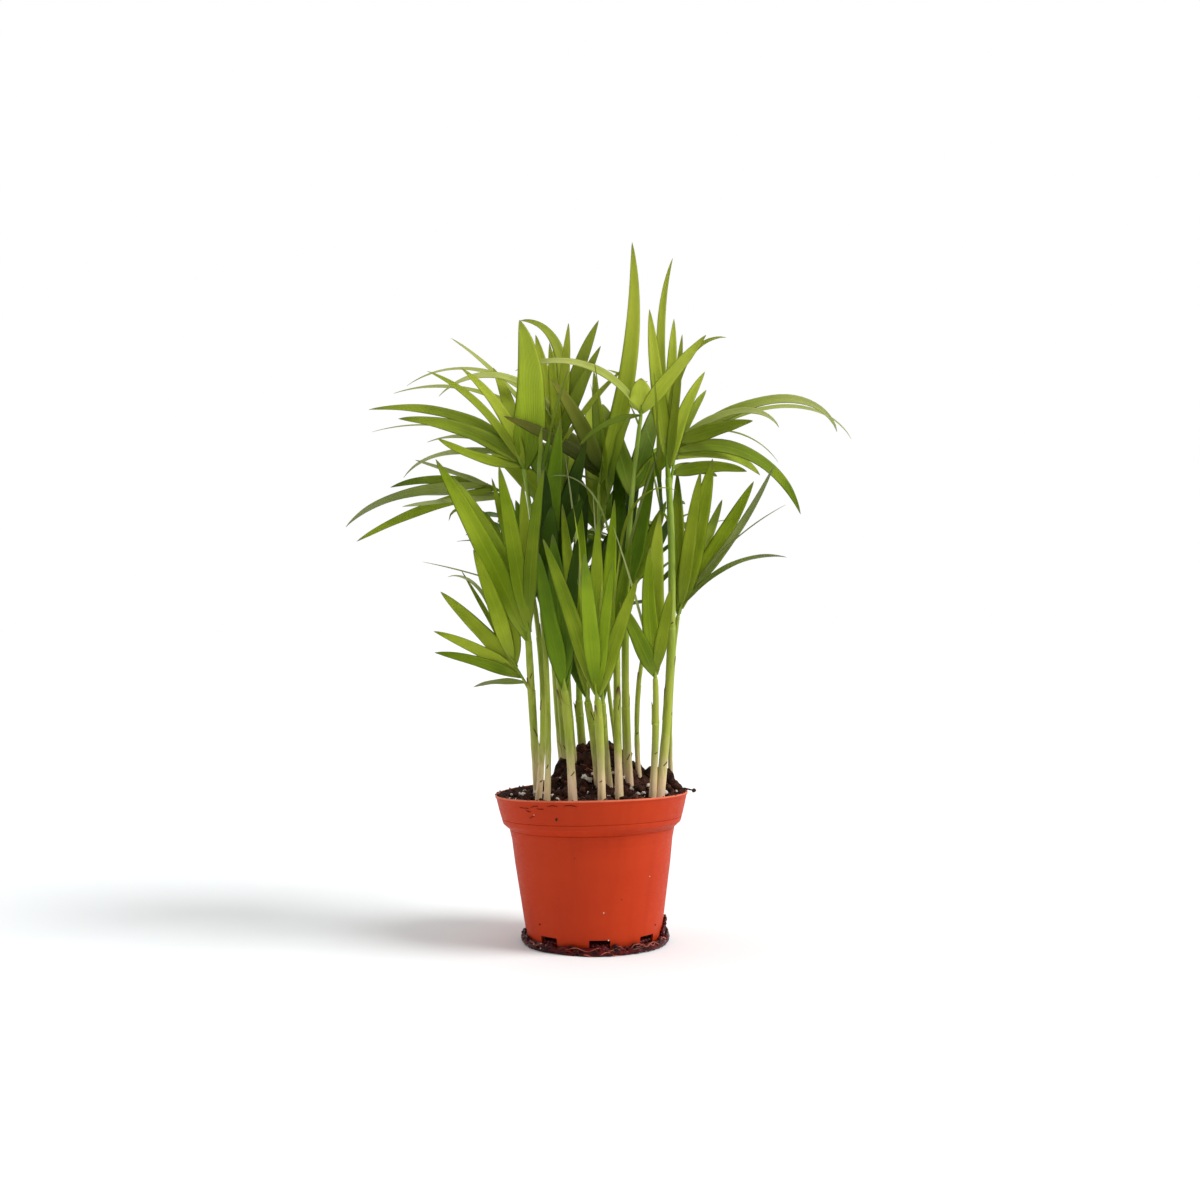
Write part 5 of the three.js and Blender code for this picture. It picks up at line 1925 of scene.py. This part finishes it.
FANS = (
    Fan("fan_top", "stem_16", Bow(lean=-4, bend=-4, length=26), "LLBMMLM", (
        (0.5, -8, 2, 90, 9, 80, 12),
        (0.9, -3.5, 22, 118, 6, 75, -8, 2.5),
        (0.43, 3, 0, 90, 8, 80, -6),
        (0.2, 6, -2, 80, 6, 60, 24),
        (0.7, 6, 96, 84, 6, 50, 16, 3),
        (0.2, 9, 24, 70, 8, 80, -20, 1),
        (0.8, -12, -60, 66, 5, 50, -26),
    )),
    Fan("fan_crest", "stem_13", Bow(lean=6, bend=4, length=16, tilt=2), "LWDWD", (
        (0.1, 18.6, -24, 151, 10.5, 84, 4, 1.2),
        (0.4, -36, -30, 60, 12, 70, -26),
        (0.9, 8, 52, 66, 8, 60, -30),
        (0.6, -22, -20, 62, 10, 70, 26),
        (0.5, -3, -2, 66, 7, 75, -12),
    )),
    Fan("fan_crook", "stem_12", Bow(lean=2, bend=0, length=7), "BBO", (
        (0.5, -2, 6, 20, 14, 84, 0),
        (0.3, 39, 6, 58, 8.5, 75, 10),
        (0.2, -24, -92, 93, 6, 55, -12, 1),
    )),
    Fan("fan_top_left", "stem_07", Bow(lean=4, bend=2, length=22), "MLMDLDOOOOLD", (
        (0.7, 5, -104, 88, 8, 70, -5, 3),
        (0.6, 5, 0, 70, 7, 75, 14),
        (0.4, -4, 2, 70, 5, 70, -24),
        (0.8, 15, 13, 71, 9, 80, 16),
        (0.2, -9, -5, 74, 9, 80, -6),
        (0.3, 30, 30, 58, 8, 60, -24),
        (0.5, -18, -102, 126, 5, 40, -22, 1),
        (0.4, -38, -68, 120, 5.5, 40, -12, 1),
        (0.3, -36, -18, 111, 5, 40, -34),
        (0.6, -6, -136, 98, 6, 50, 18, 1),
        (0.4, -5, 0, 62, 6.5, 80, 20),
        (0.6, 22, 10, 60, 8, 70, 34),
    )),
    Fan("fan_left_high", "stem_03", Bow(lean=-20, bend=-20, length=22), "FMMMLOMOM", (
        (0, 8, -28, 91, 18, 84, 6, 2),
        (0.5, -38, -62, 97, 7.5, 60, 10, 0.7),
        (0.2, -46, -48, 78, 10, 65, 26, 0.8),
        (0.2, -30, -45, 76, 5.5, 60, 34),
        (0, -10, -44, 73, 7.5, 75, 14, 1),
        (0.33, -50, -58, 64, 5, 40, -22, 1),
        (0.1, -86, 24, 52, 7, 60, 38, 1),
        (0.5, -84, -56, 80, 6, 40, -30, 2.4),
        (0.3, -8, -22, 62, 9, 75, -14),
    )),
    Fan("fan_left_middle", "stem_02", Bow(lean=-50, bend=-20, length=18), "OMMOOOO", (
        (0.9, -93, -46, 96, 7, 60, -4, 2.4),
        (0.6, -104, -20, 91, 7, 65, 12),
        (0.5, -74, -34, 72, 7, 60, -22),
        (0.8, -70, -6, 47, 5, 40, 26),
        (0.2, -84, -10, 60, 6, 40, -38),
        (0.1, -94, -10, 62, 5, 50, 34),
        (0.6, -70, -18, 44, 4.5, 40, -50),
    )),
    Fan("fan_front_left", "stem_01", Bow(lean=2, bend=-4, length=12), "LLLLMLM", (
        (0.1, -24, -6, 120, 12.5, 84, 16),
        (0.5, -20, -16, 107, 13, 70, -4),
        (0.6, -9, 0, 98, 10, 82, 28),
        (0.8, -2, 0, 86, 8.5, 82, 14),
        (0.9, 2, 14, 92, 8, 78, 36),
        (0.9, -14, -2, 94, 7, 70, -14),
        (0.8, -18, -160, 104, 5.5, 75, -20, 5),
    )),
    Fan("fan_low_left", "stem_01", Bow(lean=-30, bend=2, length=26, tilt=8), "LLMOLLLO", (
        (0.7, -43, -4, 65, 9, 78, 8),
        (0.55, -58, -12, 57, 7, 75, 22),
        (0.45, -67, -14, 53, 6.5, 70, 36),
        (0.3, -84, -30, 33, 4.5, 45, -16),
        (0.95, -29, -4, 63, 4.5, 40, -14),
        (0.9, -16, -4, 70, 9, 80, 24),
        (0.8, -12, -10, 65, 13, 80, -14),
        (1, -20, -92, 66, 4.5, 40, 20, 4),
    ), z=154),
    Fan("fan_front_middle", "stem_05", Bow(lean=-10, bend=4, length=9), "FLFML", (
        (0.5, 6, 2, 79, 7, 84, 34),
        (0.4, 17, 4, 74, 9, 84, 20),
        (0.8, -5, 1, 84, 9, 80, 46),
        (0.6, -17, -4, 96, 9, 80, 22),
        (0.9, 0, 2, 100, 9, 82, 18),
    )),
    Fan("fan_front_left_inner", "stem_09", Bow(lean=-4, bend=2, length=10), "MFD", (
        (0.5, -9, 4, 116, 9, 80, 8),
        (0.8, -3, 1, 122, 9, 80, -4),
        (0.4, -18, -4, 84, 10, 80, -14),
    )),
    Fan("fan_front_right_inner", "stem_10", Bow(lean=-2, bend=2, length=10), "FMD", (
        (0.6, 3, 1, 118, 9, 80, 4),
        (0.8, 11, -2, 98, 9, 80, -8),
        (0.4, 0, 2, 96, 9, 80, -20),
    )),
    Fan("fan_middle", "stem_11", Bow(lean=0, bend=2, length=18), "KKKD", (
        (0.7, -8, 2, 84, 9, 80, 24),
        (0.8, 9, 4, 84, 8, 80, -10),
        (0.6, -20, -8, 76, 9, 75, -14),
        (0.9, 1, 0, 96, 9, 80, -26),
    )),
    Fan("fan_front_dark", "stem_03", Bow(lean=10, bend=10, length=14, tilt=30), "KKDKDK", (
        (0.5, 6, 4, 56, 12, 80, 52),
        (0.7, 20, 8, 60, 11, 80, 40),
        (0.4, -14, -4, 60, 11, 80, 44),
        (0.8, 0, 2, 70, 11, 80, 28),
        (0.6, 4, 4, 104, 12, 80, 8),
        (0.9, 14, 4, 92, 12, 80, -2),
    ), z=208),
    Fan("fan_left_dark", "stem_04", Bow(lean=-4, bend=2, length=10), "DKD", (
        (0.3, -4, 0, 92, 13, 80, 16),
        (0.7, 4, 4, 86, 9, 80, -6),
        (0.5, -13, 8, 80, 10, 70, 30),
    )),
    Fan("fan_inner", "stem_18", Bow(lean=-4, bend=2, length=12), "KKKD", (
        (0.5, -6, 2, 92, 11, 80, -4),
        (0.9, 6, 4, 100, 10, 80, 4),
        (0.7, 16, 6, 84, 10, 75, -12),
        (0.3, -18, -8, 72, 9, 70, -16),
    )),
    Fan("fan_right_middle", "stem_15", Bow(lean=-2, bend=4, length=8), "LMML", (
        (0.5, -2, 8, 96, 11.5, 82, 14),
        (0.4, -24, -6, 50, 9, 80, 34),
        (0.7, 10, -4, 52, 7, 80, 44),
        (0.8, -8, 12, 74, 9, 75, 30),
    )),
    Fan("fan_right", "stem_17", Bow(lean=12, bend=16, length=12), "LLOOMMM", (
        (0.5, 12, -1, 93, 12.5, 82, 14),
        (0.8, 31.5, -3, 87, 10, 80, 4),
        (1, 40, -18, 96, 5, 70, 22),
        (0.7, 41, 64, 71, 4.5, 40, 34),
        (0.2, 0, 0, 90, 9, 75, -12),
        (0.9, 22, 2, 72, 8, 60, -34),
        (0.6, 6, 2, 82, 8, 75, 32),
    )),
    Fan("fan_right_high", "stem_16", Bow(lean=7, bend=8, length=40, tilt=-18), "OOOMMLMML", (
        (0.95, 62, 107, 112, 8, 60, 8, 2.8),
        (0.9, 64, 84, 124, 4.5, 45, -14, 2.4),
        (0.98, 60, 100, 68, 6, 50, 24, 2.4),
        (0.9, 72, 14, 46, 9, 75, 36),
        (0.7, 60, 98, 102, 9, 65, -24, 0.8),
        (0.6, 66, 66, 62, 8, 60, -38, 1),
        (0.45, 84, 30, 34, 7, 60, -50, 1.2),
        (0.35, 76, 36, 46, 8, 75, 20),
        (0.9, 24, 12, 40, 6, 65, -28),
    ), z=276),
    Fan("fan_right_dark", "stem_12", Bow(lean=12, bend=0, length=10, tilt=-14), "MDK", (
        (0.4, 24, -2, 62, 9, 75, -12),
        (0.9, 12, -2, 78, 9, 80, -22),
        (0.7, 36, -14, 56, 8, 70, -30),
    ), z=212),
    Fan("fan_side_left", "stem_03", Bow(lean=4, bend=0, length=14, tilt=34), "MDMD", (
        (0.8, -50, -24, 72, 9, 75, 8),
        (0.9, -24, -8, 80, 10, 80, 14),
        (0.95, 8, 8, 84, 9, 80, 20),
        (0.9, 40, 22, 84, 10, 75, 8),
    ), z=266, turn=90),
    Fan("fan_side_middle", "stem_13", Bow(lean=0, bend=0, length=14, tilt=34), "MLMD", (
        (0.8, -46, -30, 88, 10, 75, 10),
        (0.9, -22, -14, 92, 10, 80, 22),
        (0.9, 22, 16, 90, 10, 80, 14),
        (0.8, 44, 34, 88, 10, 75, 4),
    ), z=262, turn=90),
    Fan("fan_side_right", "stem_16", Bow(lean=4, bend=0, length=14, tilt=-34), "DMLM", (
        (0.8, -44, -34, 84, 10, 75, -10),
        (0.9, -20, -12, 88, 9, 80, -4),
        (0.9, 26, 14, 84, 9, 80, -14),
        (0.8, 50, 40, 88, 10, 75, -6),
    ), z=256, turn=90),
    Fan("fan_back_left", "stem_07", Bow(lean=0, bend=0, length=16, tilt=-40), "MDML", (
        (0.5, -40, -16, 70, 12, 80, -30),
        (0.8, -18, -8, 76, 12, 80, -40),
        (0.6, 4, 4, 78, 12, 80, -30),
        (0.9, 26, 14, 70, 11, 80, -44),
    ), z=262),
    Fan("fan_back_middle", "stem_13", Bow(lean=6, bend=0, length=18, tilt=-34), "DMLD", (
        (0.5, -28, -10, 84, 12, 80, -28),
        (0.7, -6, 2, 88, 12, 80, -38),
        (0.4, 14, 6, 86, 12, 80, -22),
        (0.9, 34, 10, 76, 11, 80, -40),
    ), z=246),
    Fan("fan_back_right", "stem_12", Bow(lean=6, bend=0, length=16, tilt=-44), "MDM", (
        (0.5, -14, -6, 66, 11, 80, -34),
        (0.7, 14, 8, 70, 11, 80, -44),
        (0.9, 40, 16, 62, 10, 80, -36),
    ), z=268),
)

FEATHERS = (
    Feather("feather_01", "stem_08", Bow(turn=108, lean=18, bend=46, length=96), "DMMDMDLMMDMM",
            (72, 10), 6, 2),
    Feather("feather_02", "stem_14", Bow(turn=84, lean=18, bend=42, length=96), "MDMMDLMDMMDM",
            (68, 10), 6, 3),
    Feather("feather_03", "stem_06", Bow(turn=94, lean=14, bend=34, length=124), "DMDMLMDMDMML",
            (76, 11), 6, 4),
)

# Leaves so narrow that they show as lines, and one worn leaf: frond, green, and a row as in a fan.
SLIVERS = (
    ("fan_front_left_inner", "O", (0.9, -3, -6, 141, 2.0, 60, 2)),
    ("fan_front_left_inner", "L", (0.8, -14, -6, 94, 2.0, 60, 12)),
    ("fan_front_left_inner", "B", (0.6, -1, -8, 112, 1.8, 70, 12)),
    ("fan_front_right_inner", "O", (0.7, -2, -2, 122, 1.7, 70, 8)),
    ("fan_front_right_inner", "B", (0.5, 6, 2, 96, 1.6, 70, 10)),
    ("fan_front_middle", "B", (0.5, 2, 2, 70, 1.8, 80, 20)),
    ("fan_front_middle", "L", (0.3, -8, -3, 72, 1.8, 80, 24)),
    ("fan_crest", "O", (0.1, -55, -70, 38, 1.8, 45, -24, 1)),
    ("fan_crest", "W", (0.6, -52, -20, 68, 9, 66, 17, 1)),
    ("fan_crook", "D", (0.1, -92, -52, 44, 4.2, 60, 16, 1)),
    ("fan_inner", "O", (0.8, -10, -5, 110, 1.8, 60, 10)),
    ("fan_middle", "O", (0.8, 14, 8, 96, 1.8, 60, 14)),
    ("fan_right_middle", "O", (0.6, -14, -6, 92, 1.8, 60, 16)),
    ("fan_left_high", "O", (0.6, -60, -50, 88, 2.2, 40, 20, 1)),
    ("fan_right_high", "O", (0.9, 58, 90, 70, 1.8, 40, 10, 1)),
    ("fan_right", "O", (0.8, 30, 32, 86, 1.5, 40, 22, 1)),
    ("fan_middle", "O", (0.9, -8, -104, 88, 1.9, 50, 18, 3)),
    ("fan_middle", "L", (0.7, 3, 122, 84, 2.4, 50, 18, 3)),
    ("fan_front_dark", "O", (0.3, -67, -12, 76, 1.5, 40, 6, 1)),
)

# The heights of the old sheaths' mouths on each stem.
SHEATHS = {
    "stem_01": (158,), "stem_02": (190,), "stem_03": (205,), "stem_04": (150,), "stem_05": (143,),
    "stem_06": (141,), "stem_07": (190,), "stem_08": (149,), "stem_09": (139,), "stem_10": (136,),
    "stem_11": (152,), "stem_12": (196, 147), "stem_13": (215,), "stem_14": (160,), "stem_15": (139,),
    "stem_16": (196,), "stem_17": (170,), "stem_18": (140,),
}

# Dry brown marks: stem, height, where the middle stands about Z from the right, span, slope.
MARKS = (
    ("stem_01", 165, -80, 70, 3), ("stem_01", 130, -60, 90, -4), ("stem_02", 147, 220, 60, 5),
    ("stem_02", 102, -70, 80, 1), ("stem_03", 111.5, -100, 60, 2), ("stem_06", 144, 200, 60, 6),
    ("stem_09", 146, 210, 50, 5), ("stem_09", 141, -60, 50, -5), ("stem_16", 154.5, 200, 50, 8),
    ("stem_16", 197, -80, 60, 1), ("stem_16", 112, -60, 90, 2), ("stem_15", 140, 180, 50, 7),
    ("stem_15", 119, -70, 80, 1), ("stem_12", 114.5, -75, 80, 3), ("stem_12", 197, -90, 60, 2),
    ("stem_11", 148, -60, 50, 6), ("stem_04", 108, -70, 90, 2), ("stem_14", 128, -80, 90, 1),
    ("stem_08", 118, -90, 60, -3), ("stem_17", 140, -60, 60, 2), ("stem_05", 104, -100, 70, 1),
)

# Dry ends of old sheaths: stem, height, where they stand about Z from the right, length, way out.
HUSKS = (
    ("stem_08", 108, 190, 15, 3.0), ("stem_15", 136, 175, 14, 1.6), ("stem_16", 138, 185, 20, 1.6),
    ("stem_06", 134, 185, 13, 2.4), ("stem_09", 132, 5, 14, 2.4), ("stem_05", 128, 190, 16, 1.8),
    ("stem_04", 134, 165, 16, 2.2), ("stem_12", 134, 20, 16, 1.6), ("stem_02", 112, 200, 14, 2.0),
)


def main() -> None:
    """Builds the pot, the soil, the plant and the studio."""
    logging.basicConfig(level=logging.INFO, format="%(name)s: %(message)s")
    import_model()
    growth = Growth.grow(STEMS, (*FANS, *FEATHERS))
    Studio().build()
    Pot().build()
    RootMat().build()
    Soil().build()
    Crumbs().build()
    Canes(growth, SHEATHS, MARKS, HUSKS).build()
    Crown(growth, SLIVERS).build()


if __name__ == "__main__":
    main()
